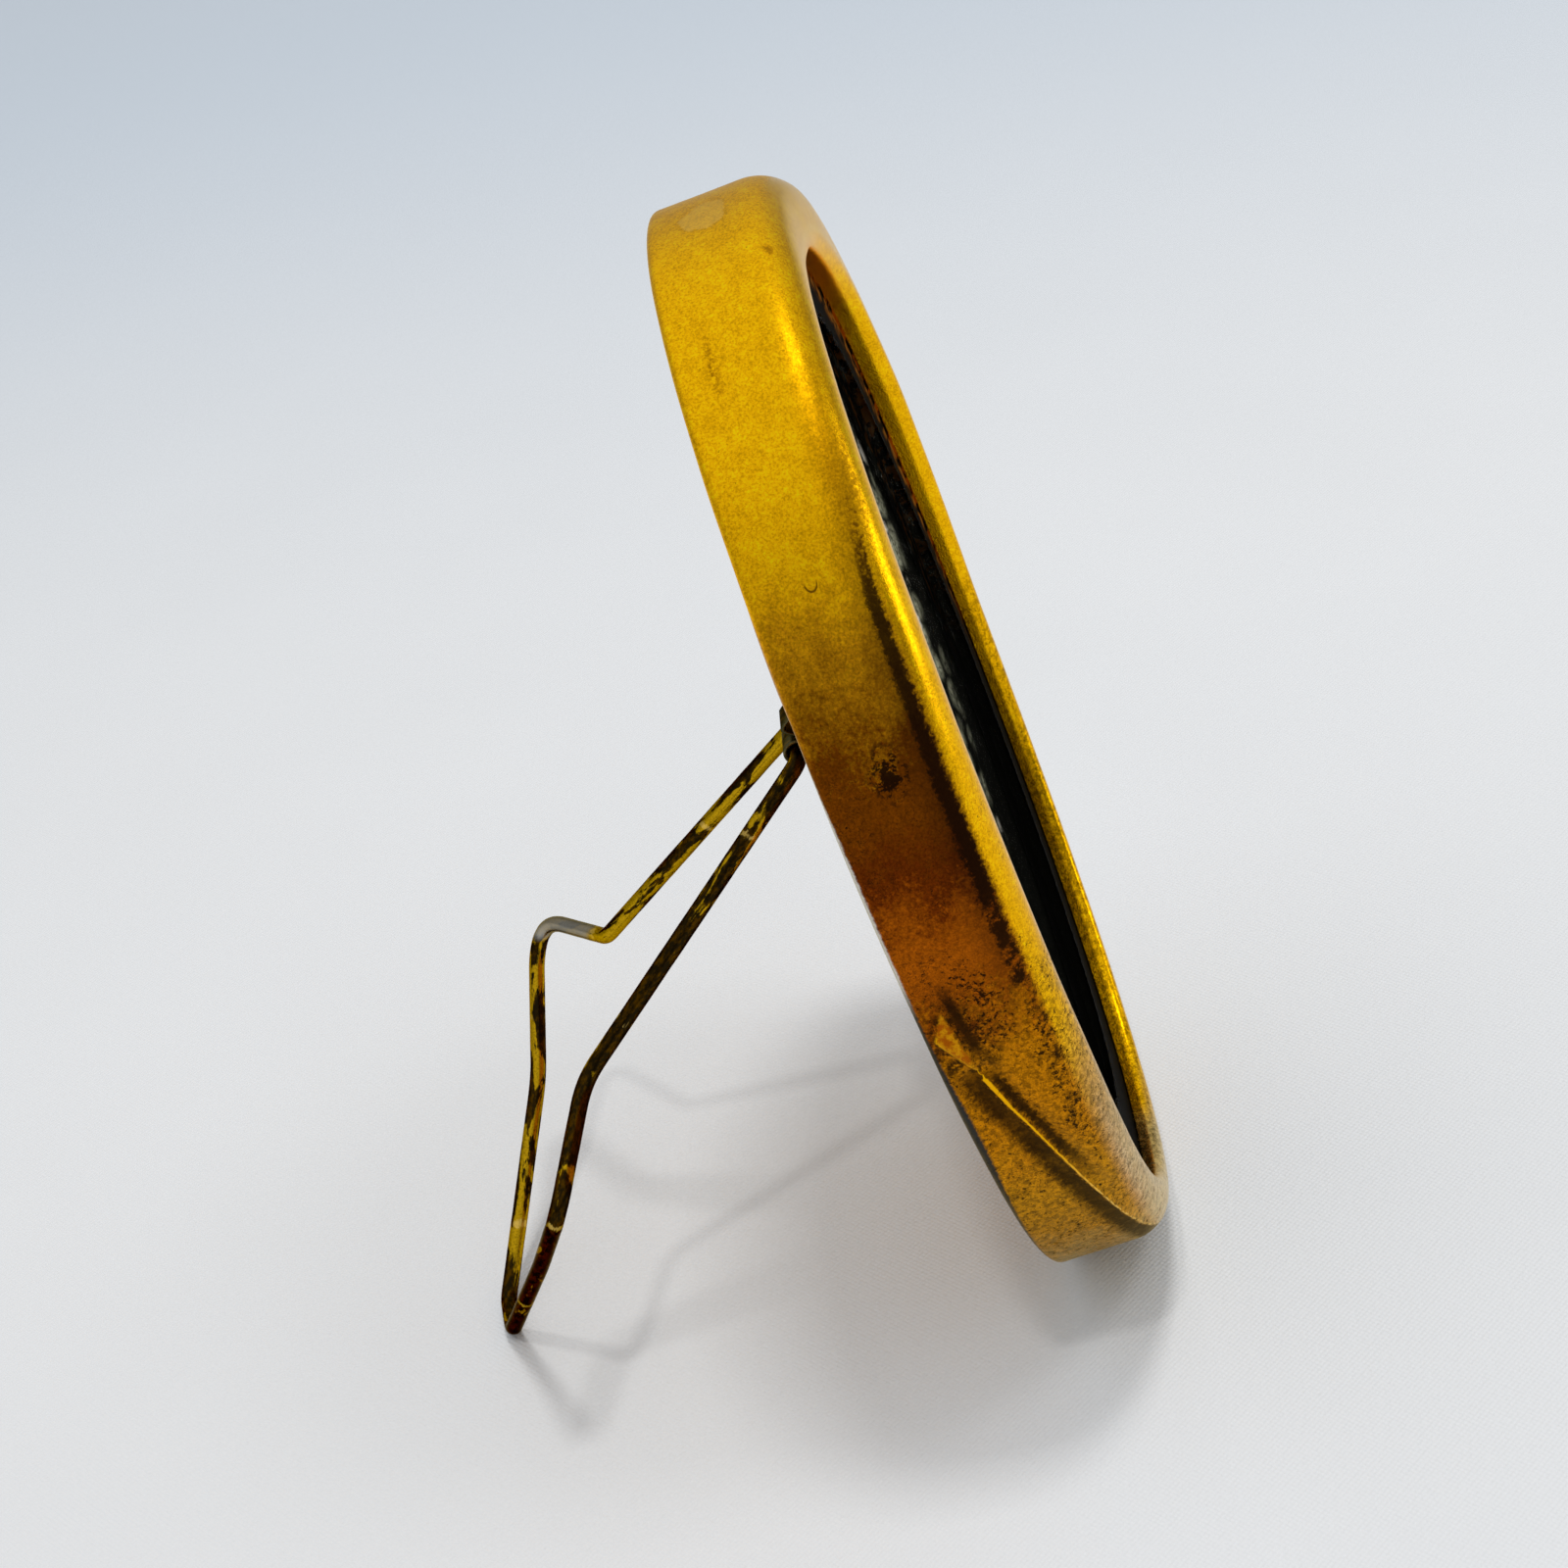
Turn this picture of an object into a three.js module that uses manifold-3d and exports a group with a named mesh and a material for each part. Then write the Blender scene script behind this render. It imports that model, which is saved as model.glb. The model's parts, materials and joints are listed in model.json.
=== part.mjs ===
// Oval picture frame of pressed sheet brass, standing on a folding wire easel.
// Millimetres, +Z up. The picture faces -Y and leans back; the easel stands behind it, towards +Y.
// The origin is the middle of the small flat on which the rim rests.
import * as THREE from 'three';
import { mergeVertices } from 'three/addons/utils/BufferGeometryUtils.js';
import Module from 'manifold-3d';

// Oval rim
const OVAL_WIDTH = 80;
const OVAL_HEIGHT = 120;
const OVAL_POWER = 2.1; // 2 is an ellipse, more is fuller at the corners
const OVAL_SEGMENTS = 72;
const RIM_DEPTH = 13.2;
const RIM_SHEET = 0.6;
const FRONT_RADIUS = 4.4; // rounding from the wall into the front lip
const LIP_WIDTH = 5.8; // from the outer oval to the edge of the opening
const LIP_RADIUS = 1.1; // rounding into the turned-in edge
const LIP_RETURN = 2.0; // depth of the turned-in edge
const REAR_RADIUS = 0.9;
const REAR_FLANGE = 3.2; // crimped flange that holds the back plate
const REST_CUT = 0.25; // worn flat under the rim, measured upwards

// Filling of the rim
const GLASS_THICKNESS = 2.0;
const PRINT_THICKNESS = 0.4;
const PACKING_CARDS = ['front', 'middle', 'rear'];
const SIDE_CLEARANCE = 0.4;
const SEAT_GAP = 0.3; // between stacked or seated pieces

// Back plate with its raised boss
const PLATE_SHEET = 0.6;
const BOSS_RISE = 3.8; // outer face of the boss, behind the rear of the rim
const BOSS_WIDTH = 26;
const BOSS_HEIGHT = 38;
const BOSS_SLOPE = 4; // how far the boss spreads from its top to its foot
const BOSS_ABOVE_HINGE = 6; // centre of the boss above the hinge axis

// Hinge strap and rivets
const HINGE_RISE = 4.9; // hinge axis above the centre of the oval
const LEAF_WIDTH = 9;
const LEAF_LENGTH = 15.5; // above the hinge axis
const LEAF_THICKNESS = 0.6;
const KNUCKLE_WALL = 0.8;
const KNUCKLE_FACES = 20;
const RIVET_RISES = { lower: 5.5, upper: 11.5 }; // above the hinge axis
const RIVET_SHANK = 0.75; // radii of the rivet
const RIVET_HEAD = 1.7;
const RIVET_TAIL = 1.3;
const RIVET_HEAD_HEIGHT = 0.9;
const RIVET_TAIL_HEIGHT = 0.5;
const RIVET_FACES = 16;

// Wire easel
const WIRE_DIAMETER = 1.86;
const WIRE_FIT = 0.25; // radial clearance in the knuckle
const WIRE_SIDES = 8;
const WIRE_STEPS = 120;
const WIRE_END_GAP = 1.0; // between the two wire ends inside the knuckle
const LEG_TOP_WIDTH = 7.2; // centre to centre, where the legs leave the knuckle
const KINK_WIDTH = 25.6;
const SHOULDER_WIDTH = 52;
const FOOT_WIDTH = 5;
const FOOT_OFFSET = -6; // the hand-bent foot stands to one side
const LEG_LENGTH = 38.3; // hinge axis to the kinks
const SHOULDER_LENGTH = 8.1; // kinks to the shoulders
const FOOT_REACH = 12; // foot behind the shoulders
const TOP_BEND = 1.6; // bend radii
const KINK_BEND = 2.5;
const SHOULDER_BEND = 3.5;
const FOOT_BEND = 2.4;

// Stance
const LEAN = THREE.MathUtils.degToRad(9.9);
const EASEL_OPEN = THREE.MathUtils.degToRad(54.8); // upper legs from the back of the frame

const BRASS = { color: 0xb8860b, roughness: 0.35, metalness: 1.0 };
const DARK_BRASS = { color: 0x6f4f16, roughness: 0.4, metalness: 1.0 };
const GLASS = { color: 0xcfd6d2, roughness: 0.1, metalness: 0.0, transparent: true, opacity: 0.35 };
const PRINT = { color: 0x23261f, roughness: 0.8, metalness: 0.0 };
const CARD = { color: 0x9a7f5a, roughness: 0.9, metalness: 0.0 };

const wasm = await Module();
wasm.setup();

// Sizes that follow from those above
const wireRadius = WIRE_DIAMETER / 2;
const boreRadius = wireRadius + WIRE_FIT;
const knuckleRadius = boreRadius + KNUCKLE_WALL;
const knuckleLength = LEG_TOP_WIDTH - WIRE_DIAMETER - 2 * SEAT_GAP;
const leafSeat = BOSS_RISE + SEAT_GAP;
const hingeOffset = leafSeat + knuckleRadius;
const frontRadius = Math.min(FRONT_RADIUS, LIP_WIDTH - LIP_RADIUS, RIM_DEPTH / 2);
const glassFront = RIM_DEPTH - LIP_RETURN - SEAT_GAP;
const glassRear = glassFront - GLASS_THICKNESS;
const printFront = glassRear - SEAT_GAP;
const printRear = printFront - PRINT_THICKNESS;
const plateRear = RIM_SHEET + SEAT_GAP;
const plateFront = plateRear + PLATE_SHEET;
const cardSpace = printRear - plateFront - SEAT_GAP * (PACKING_CARDS.length + 1);
const cardThickness = cardSpace / PACKING_CARDS.length;

// Frame coordinates: x across, y up along the leaning frame, z out of the picture's front.
const frame = new THREE.Group();
frame.rotation.x = Math.PI / 2 - LEAN;
const rearCentre = OVAL_HEIGHT / 2 - REAR_RADIUS;
const lowestRim = REAR_RADIUS * Math.sin(LEAN) - rearCentre * Math.cos(LEAN) - REAR_RADIUS;
frame.position.z = -lowestRim - REST_CUT;
// The flat is centred on the origin: it reaches from the rear rounding forwards along the wall.
const flatFront = REAR_RADIUS + (REST_CUT - REAR_RADIUS * (1 - Math.cos(LEAN))) / Math.sin(LEAN);
const flatRear = REAR_RADIUS - Math.sqrt(REAR_RADIUS ** 2 - (REAR_RADIUS - REST_CUT) ** 2);
const flatMiddle = (flatFront + flatRear) / 2;
frame.position.y = (OVAL_HEIGHT / 2) * Math.sin(LEAN) + flatMiddle * Math.cos(LEAN);
frame.updateMatrixWorld();

// A point of the oval, moved inwards along its normal by an inset
function ovalPoint(turn, inset, width = OVAL_WIDTH, height = OVAL_HEIGHT) {
  const power = 2 / OVAL_POWER;
  const round = (value) => Math.sign(value) * Math.abs(value) ** power;
  const x = (width / 2) * round(Math.cos(turn));
  const y = (height / 2) * round(Math.sin(turn));
  const slope = (value, half) => (Math.sign(value) * Math.abs(value / half) ** (OVAL_POWER - 1)) / half;
  const normal = new THREE.Vector2(slope(x, width / 2), slope(y, height / 2)).normalize();
  return new THREE.Vector2(x, y).addScaledVector(normal, -inset);
}

function ovalRing(inset, width, height, centreY = 0) {
  const ring = [];
  for (let i = 0; i < OVAL_SEGMENTS; i += 1) {
    const point = ovalPoint((i / OVAL_SEGMENTS) * 2 * Math.PI, inset, width, height);
    ring.push(new THREE.Vector2(point.x, point.y + centreY));
  }
  return ring;
}

// A skin over equal rings of points; the list of rings closes on itself or is capped at both ends.
function skin(rings, closed) {
  const count = rings[0].length;
  const positions = rings.flat().flatMap((point) => [point.x, point.y, point.z]);
  const indices = [];
  const strips = closed ? rings.length : rings.length - 1;
  for (let r = 0; r < strips; r += 1) {
    const next = (r + 1) % rings.length;
    for (let i = 0; i < count; i += 1) {
      const j = (i + 1) % count;
      const [a, b, c, d] = [r * count + i, r * count + j, next * count + j, next * count + i];
      indices.push(a, b, c, a, c, d);
    }
  }
  if (!closed) {
    const caps = [[0, rings[0], true], [rings.length - 1, rings.at(-1), false]];
    for (const [row, ring, flip] of caps) {
      const centre = ring.reduce((sum, point) => sum.add(point), new THREE.Vector3()).divideScalar(count);
      const hub = positions.push(centre.x, centre.y, centre.z) / 3 - 1;
      for (let i = 0; i < count; i += 1) {
        const [a, b] = [row * count + i, row * count + ((i + 1) % count)];
        indices.push(hub, flip ? b : a, flip ? a : b);
      }
    }
  }
  const geometry = new THREE.BufferGeometry();
  geometry.setAttribute('position', new THREE.Float32BufferAttribute(positions, 3));
  geometry.setIndex(indices);
  return geometry;
}

const atDepth = (ring, depth) => ring.map((point) => new THREE.Vector3(point.x, point.y, depth));

function toSolid(geometry) {
  const bare = geometry.clone();
  bare.deleteAttribute('normal');
  bare.deleteAttribute('uv');
  const merged = mergeVertices(bare, 1e-5);
  return new wasm.Manifold(new wasm.Mesh({
    numProp: 3,
    vertProperties: new Float32Array(merged.attributes.position.array),
    triVerts: new Uint32Array(merged.index.array),
  }));
}

function toGeometry(solid) {
  const mesh = solid.getMesh();
  const geometry = new THREE.BufferGeometry();
  geometry.setAttribute('position', new THREE.BufferAttribute(new Float32Array(mesh.vertProperties), 3));
  geometry.setIndex(new THREE.BufferAttribute(new Uint32Array(mesh.triVerts), 1));
  return geometry;
}

function named(name, geometry, finish) {
  geometry.computeVertexNormals();
  const mesh = new THREE.Mesh(geometry, new THREE.MeshStandardMaterial(finish));
  mesh.name = name;
  return mesh;
}

// Inner face of the rim's wall, as an inset from the outer oval, at a depth
function wallInset(depth) {
  const arc = (radius, rise) => radius - Math.sqrt((radius - RIM_SHEET) ** 2 - rise ** 2);
  if (depth < REAR_RADIUS) {
    return arc(REAR_RADIUS, REAR_RADIUS - depth);
  }
  if (depth > RIM_DEPTH - frontRadius) {
    return arc(frontRadius, depth - RIM_DEPTH + frontRadius);
  }
  return RIM_SHEET;
}

// Section of the rim as inset and depth, outside first and then back along the inside
function rimSection() {
  const points = [];
  const arc = (inset, depth, radius, from, to, steps) => {
    for (let i = 0; i <= steps; i += 1) {
      const angle = from + ((to - from) * i) / steps;
      points.push([inset + radius * Math.cos(angle), depth + radius * Math.sin(angle)]);
    }
  };
  const quarter = Math.PI / 2;
  const wallTop = RIM_DEPTH - frontRadius;
  const lipRoot = LIP_WIDTH - LIP_RADIUS;
  const lipTop = RIM_DEPTH - LIP_RADIUS;
  points.push([REAR_FLANGE, 0]);
  arc(REAR_RADIUS, REAR_RADIUS, REAR_RADIUS, -quarter, -2 * quarter, 2);
  arc(frontRadius, wallTop, frontRadius, 2 * quarter, quarter, 5);
  arc(lipRoot, lipTop, LIP_RADIUS, quarter, 0, 2);
  points.push([LIP_WIDTH, RIM_DEPTH - LIP_RETURN]);
  points.push([LIP_WIDTH - RIM_SHEET, RIM_DEPTH - LIP_RETURN]);
  arc(lipRoot, lipTop, LIP_RADIUS - RIM_SHEET, 0, quarter, 2);
  arc(frontRadius, wallTop, frontRadius - RIM_SHEET, quarter, 2 * quarter, 5);
  arc(REAR_RADIUS, REAR_RADIUS, REAR_RADIUS - RIM_SHEET, -2 * quarter, -quarter, 2);
  points.push([REAR_FLANGE, RIM_SHEET]);
  const apart = (a, b) => Math.hypot(a[0] - b[0], a[1] - b[1]) > 1e-3;
  return points.filter((point, i) => apart(point, points.at(i - 1)));
}

// The rim, cut level where it rests
function rimShell() {
  const rings = rimSection().map(([inset, depth]) => atDepth(ovalRing(inset), depth));
  const standing = skin(rings, true).applyMatrix4(frame.matrixWorld);
  const floor = new THREE.BoxGeometry(OVAL_WIDTH, OVAL_WIDTH, RIM_DEPTH);
  floor.translate(0, 0, -RIM_DEPTH / 2);
  return toGeometry(toSolid(standing).subtract(toSolid(floor)));
}

// A flat oval piece that fills the rim between two depths
function filling(rear, front) {
  const ring = ovalRing(Math.max(wallInset(rear), wallInset(front)) + SIDE_CLEARANCE);
  return skin([atDepth(ring, rear), atDepth(ring, front)], false);
}

function rivetHole(rise) {
  const reach = 4 * (BOSS_RISE + knuckleRadius);
  const radius = RIVET_SHANK + SEAT_GAP;
  const hole = new THREE.CylinderGeometry(radius, radius, reach, RIVET_FACES);
  return toSolid(hole.rotateX(Math.PI / 2).translate(0, HINGE_RISE + rise, 0));
}

function drilled(solid) {
  return Object.values(RIVET_RISES).reduce((left, rise) => left.subtract(rivetHole(rise)), solid);
}

// The back plate: its band lies under the crimped flange, its boss stands out behind.
function backPlate() {
  const centre = HINGE_RISE + BOSS_ABOVE_HINGE;
  const band = ovalRing(Math.max(wallInset(plateRear), wallInset(plateFront)) + SIDE_CLEARANCE);
  const foot = ovalRing(0, BOSS_WIDTH + 2 * BOSS_SLOPE, BOSS_HEIGHT + 2 * BOSS_SLOPE, centre);
  const top = ovalRing(0, BOSS_WIDTH, BOSS_HEIGHT, centre);
  const bossInside = PLATE_SHEET - BOSS_RISE;
  const inside = [atDepth(band, plateFront), atDepth(foot, plateFront), atDepth(top, bossInside)];
  const outside = [atDepth(top, -BOSS_RISE), atDepth(foot, plateRear), atDepth(band, plateRear)];
  const geometry = skin([...outside, ...inside], false);
  return toGeometry(drilled(toSolid(geometry)));
}

// The strap: a leaf on the boss and a knuckle curled round the wire ends
function hingeStrap() {
  const leaf = new THREE.BoxGeometry(LEAF_WIDTH, LEAF_LENGTH, LEAF_THICKNESS);
  leaf.translate(0, HINGE_RISE + LEAF_LENGTH / 2, -leafSeat - LEAF_THICKNESS / 2);
  const lying = (radius, length) => new THREE.CylinderGeometry(radius, radius, length, KNUCKLE_FACES)
    .rotateZ(Math.PI / 2).translate(0, HINGE_RISE, -hingeOffset);
  const knuckle = toSolid(lying(knuckleRadius, knuckleLength));
  // The leaf is narrowed to the knuckle beside the legs of the wire.
  const notch = new THREE.BoxGeometry(LEAF_WIDTH, 2 * knuckleRadius, knuckleRadius);
  const notches = [-1, 1].map((side) => toSolid(notch.clone()
    .translate((side * (LEAF_WIDTH + knuckleLength)) / 2, HINGE_RISE, -leafSeat)));
  const curled = notches.reduce((left, cut) => left.subtract(cut), toSolid(leaf)).add(knuckle);
  const bore = toSolid(lying(boreRadius, 2 * LEAF_WIDTH));
  return toGeometry(drilled(curled.subtract(bore)));
}

function rivet(rise) {
  const headSeat = leafSeat + LEAF_THICKNESS + SEAT_GAP;
  const tailSeat = BOSS_RISE - PLATE_SHEET - SEAT_GAP;
  const profile = [
    [0, tailSeat - RIVET_TAIL_HEIGHT], [RIVET_TAIL, tailSeat - RIVET_TAIL_HEIGHT], [RIVET_TAIL, tailSeat],
    [RIVET_SHANK, tailSeat], [RIVET_SHANK, headSeat],
  ].map(([radius, height]) => new THREE.Vector2(radius, height));
  const domeSteps = 4;
  for (let i = 0; i <= domeSteps; i += 1) {
    const angle = (i / domeSteps) * (Math.PI / 2);
    const radius = i === domeSteps ? 0 : RIVET_HEAD * Math.cos(angle);
    profile.push(new THREE.Vector2(radius, headSeat + RIVET_HEAD_HEIGHT * Math.sin(angle)));
  }
  const turned = new THREE.LatheGeometry(profile, RIVET_FACES);
  return turned.rotateX(-Math.PI / 2).translate(0, HINGE_RISE + rise, 0);
}

// A path of straight runs with rounded bends
function bentPath(points, bends) {
  const path = new THREE.CurvePath();
  let start = points[0];
  for (let i = 1; i < points.length - 1; i += 1) {
    const before = points[i - 1].clone().sub(points[i]);
    const after = points[i + 1].clone().sub(points[i]);
    const room = 0.45 * Math.min(before.length(), after.length());
    const trim = Math.min(bends[i - 1] / Math.tan(before.angleTo(after) / 2), room);
    const bendStart = points[i].clone().addScaledVector(before.normalize(), trim);
    const bendEnd = points[i].clone().addScaledVector(after.normalize(), trim);
    path.add(new THREE.LineCurve3(start, bendStart));
    path.add(new THREE.QuadraticBezierCurve3(bendStart, points[i], bendEnd));
    start = bendEnd;
  }
  path.add(new THREE.LineCurve3(start, points.at(-1)));
  return path;
}

// The wire runs from one end in the knuckle down a leg, round the foot and up the other leg.
function easelWire() {
  const hinge = new THREE.Vector3(0, HINGE_RISE, -hingeOffset).applyMatrix4(frame.matrixWorld);
  const swing = EASEL_OPEN - LEAN;
  const down = new THREE.Vector3(0, Math.sin(swing), -Math.cos(swing));
  const kink = hinge.clone().addScaledVector(down, LEG_LENGTH);
  const shoulder = kink.clone().addScaledVector(down, SHOULDER_LENGTH);
  const foot = new THREE.Vector3(FOOT_OFFSET, shoulder.y + FOOT_REACH, wireRadius);
  const across = (point, x) => new THREE.Vector3(point.x + x, point.y, point.z);
  const leg = (side) => [
    across(hinge, (side * WIRE_END_GAP) / 2),
    across(hinge, (side * LEG_TOP_WIDTH) / 2),
    across(kink, (side * KINK_WIDTH) / 2),
    across(shoulder, (side * SHOULDER_WIDTH) / 2),
    across(foot, (side * FOOT_WIDTH) / 2),
  ];
  const legBends = [TOP_BEND, KINK_BEND, SHOULDER_BEND, FOOT_BEND];
  const points = [...leg(-1), ...leg(1).reverse()];
  const path = bentPath(points, [...legBends, ...legBends.toReversed()]);
  const section = new THREE.Shape();
  for (let i = 0; i < WIRE_SIDES; i += 1) {
    const angle = (i / WIRE_SIDES) * 2 * Math.PI;
    section[i ? 'lineTo' : 'moveTo'](wireRadius * Math.cos(angle), wireRadius * Math.sin(angle));
  }
  const sweep = { extrudePath: path, steps: WIRE_STEPS, bevelEnabled: false };
  return new THREE.ExtrudeGeometry(section, sweep);
}

const oval_frame = new THREE.Group();
oval_frame.add(frame);
oval_frame.add(named('rim_shell', rimShell(), BRASS));
frame.add(named('glass_pane', filling(glassRear, glassFront), GLASS));
frame.add(named('picture_print', filling(printRear, printFront), PRINT));
PACKING_CARDS.forEach((place, i) => {
  const front = printRear - SEAT_GAP - i * (cardThickness + SEAT_GAP);
  frame.add(named(`packing_card_${place}`, filling(front - cardThickness, front), CARD));
});
frame.add(named('back_plate', backPlate(), BRASS));
frame.add(named('hinge_strap', hingeStrap(), BRASS));
for (const [place, rise] of Object.entries(RIVET_RISES)) {
  frame.add(named(`hinge_rivet_${place}`, rivet(rise), BRASS));
}
oval_frame.add(named('easel_wire', easelWire(), DARK_BRASS));

export default oval_frame;
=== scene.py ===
"""Oval picture frame of pressed brass on a wire easel: fine meshes, aged finishes and a plain studio.

Lengths are metres. Frame coordinates run x across the picture, y up the leaning frame and
z out of its front, from the middle of the rim's rear plane.
"""
import json
import math

import bpy
from bpy.props import FloatProperty, FloatVectorProperty, IntProperty, PointerProperty
from mathutils import Matrix, Vector, noise


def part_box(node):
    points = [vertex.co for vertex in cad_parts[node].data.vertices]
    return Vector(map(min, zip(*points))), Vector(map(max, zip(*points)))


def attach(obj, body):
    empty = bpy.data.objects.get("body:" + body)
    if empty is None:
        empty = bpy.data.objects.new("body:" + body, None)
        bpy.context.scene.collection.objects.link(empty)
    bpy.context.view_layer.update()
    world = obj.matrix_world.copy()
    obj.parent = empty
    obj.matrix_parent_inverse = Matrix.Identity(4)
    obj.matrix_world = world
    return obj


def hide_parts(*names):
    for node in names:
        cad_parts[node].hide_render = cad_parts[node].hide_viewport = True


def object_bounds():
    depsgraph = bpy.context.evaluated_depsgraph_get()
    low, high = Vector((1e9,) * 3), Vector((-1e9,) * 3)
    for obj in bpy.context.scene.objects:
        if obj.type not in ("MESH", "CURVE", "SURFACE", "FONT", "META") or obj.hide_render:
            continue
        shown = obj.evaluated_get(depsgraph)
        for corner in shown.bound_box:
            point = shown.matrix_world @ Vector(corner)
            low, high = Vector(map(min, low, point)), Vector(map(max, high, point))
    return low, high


bl_info = {
    "name": "Oval Picture Frame",
    "version": (1, 0, 0),
    "blender": (4, 5, 0),
    "location": "View3D > Sidebar > Picture Frame",
    "description": "Dresses the oval brass picture frame and sets its studio",
    "category": "Object",
}

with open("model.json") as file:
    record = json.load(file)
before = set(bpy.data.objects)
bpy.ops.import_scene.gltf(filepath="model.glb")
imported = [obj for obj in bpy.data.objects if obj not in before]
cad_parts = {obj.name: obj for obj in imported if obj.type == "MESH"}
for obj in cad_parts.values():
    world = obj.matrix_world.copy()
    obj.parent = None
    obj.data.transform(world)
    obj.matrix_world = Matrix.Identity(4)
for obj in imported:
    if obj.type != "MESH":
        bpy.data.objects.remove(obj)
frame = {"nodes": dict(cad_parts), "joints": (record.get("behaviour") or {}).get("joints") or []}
CAD_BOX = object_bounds()

MM = 0.001

# Crease pressed into the near wall, as arc above the near middle and run over the face, in mm.
# A pair of single numbers holds the places where a form begins and where it is full.
PUCKER = ((-13.0, 6.6), (-6.4, 3.6), (-2.6, 5.5))
CREST = ((-13.0, 6.5), (-17.6, 7.6), (-20.8, 8.5), (-26.6, 9.8), (-36.5, 11.7), (-46.3, 13.3), (-60.0, 15.0))
CREASE_REACH = (-70.0, 8.0)
BEYOND_CREASE = (-99.0, 99.0, 99.0)
PUCKER_HEIGHT = 0.42
PUCKER_EDGE = (-0.25, 0.5)
CREST_HEIGHT = 0.24
CREST_WIDTH = 0.34
CREST_START = (-2.5, 0.5)
CREST_FADE = (52.0, 22.0)
VALLEY_DEPTH = 0.26
VALLEY_PLACE = 1.25
VALLEY_WIDTH = 0.85
VALLEY_START = (-8.0, -1.0)
CREASE_DENT = 0.38
DENT_WIDTH = 6.5
DENT_START = (-14.0, -3.0)
CREASE_FOOT = (2.9, 4.4)

# Shares of the rim's height, width and section between which the lip widens and the front swells
LIP_RISE, LIP_SIDE, LIP_FACE = (0.30, 0.47), (-0.22, 0.08), (0.35, 1.0)
SWELL_RISE, SWELL_SIDE, SWELL_FACE = (-0.16, 0.24), (-0.05, 0.30), (0.45, 0.95)

# Unevenness of the hand-bent easel, for each leg from the knuckle to the foot:
# shifts in mm and share of the bend
STRAIGHT = (0, 0, 0, 1)
NEAR_BOWS = (STRAIGHT, STRAIGHT, (0, 0.9, 0.1, 2.4), (0, -1.0, 0, 1), (0, -1.2, 0, 1), (0, -0.7, 0, 1))
FAR_BOWS = (STRAIGHT, STRAIGHT, (0, -1.2, -0.1, 1), (0, 2.5, 1.2, 1.45), STRAIGHT, STRAIGHT)

SHIN_SHARE = 0.42
BEND_ROOM = 0.45
WIRE_ROUGHNESS = 0.02

# Scale of the unevenness, per metre: two over the rim, one over the back plate and one along the wire
RIM_WAVES = (70.0, 190.0)
BACK_WAVES = 90.0
WIRE_WAVES = 450.0

# Side of the surrounding that is dim
DIM_SIDE = (-0.866, -0.5, 0.0)

# Leaves of the print: their slant, and their width as a share of their length
LEAF_SLANT = math.radians(30.5)
LEAF_WIDTH = 0.34


def length(name, description, millimetres):
    """A size that a user may change, given in millimetres."""
    return FloatProperty(
        name=name, description=description, default=millimetres * MM, unit="LENGTH", precision=5
    )


def colour(name, description, red, green, blue):
    """A linear colour that a user may change."""
    return FloatVectorProperty(
        name=name, description=description, default=(red, green, blue), subtype="COLOR", min=0.0, max=1.0
    )


def degrees(name, description, value):
    """An angle that a user may change, given in degrees."""
    return FloatProperty(name=name, description=description, default=math.radians(value), subtype="ANGLE")


class OvalRimSizes(bpy.types.PropertyGroup):
    """Sizes of the pressed rim and of its stance."""

    width: length("Width", "Outer width of the oval", 80)
    height: length("Height", "Outer height of the oval", 120)
    power: FloatProperty(name="Power", description="2 is an ellipse, more is fuller", default=2.1)
    depth: length("Depth", "From the rear plane to the front of the lip", 13.2)
    sheet: length("Sheet", "Thickness of the brass sheet", 0.6)
    front_radius: length("Front radius", "Rounding from the wall into the lip", 4.4)
    lip_width: length("Lip width", "From the outer oval to the opening", 5.8)
    lip_radius: length("Lip radius", "Rounding into the turned-in edge", 1.1)
    lip_return: length("Lip return", "Depth of the turned-in edge", 2.35)
    rear_radius: length("Rear radius", "Rounding into the crimped flange", 0.9)
    rear_flange: length("Rear flange", "Width of the crimped flange", 3.2)
    pane_middle: length("Pane middle", "Middle of the glass above the rear plane", 9.9)
    lean: degrees("Lean", "Lean of the frame", 9.9)
    swell: length("Swell", "Extra depth of the front at the far upper part", 0.9)
    top_lip: length("Top lip", "Extra width of the lip at the top", 2.6)
    waviness: length("Waviness", "Unevenness of the pressed sheet", 0.05)
    fine_step: length("Fine step", "Mesh step over the crease", 0.2)
    coarse_step: length("Coarse step", "Mesh step elsewhere round the oval", 0.55)
    face_step: length("Face step", "Mesh step over the rim's face", 0.26)


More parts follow.
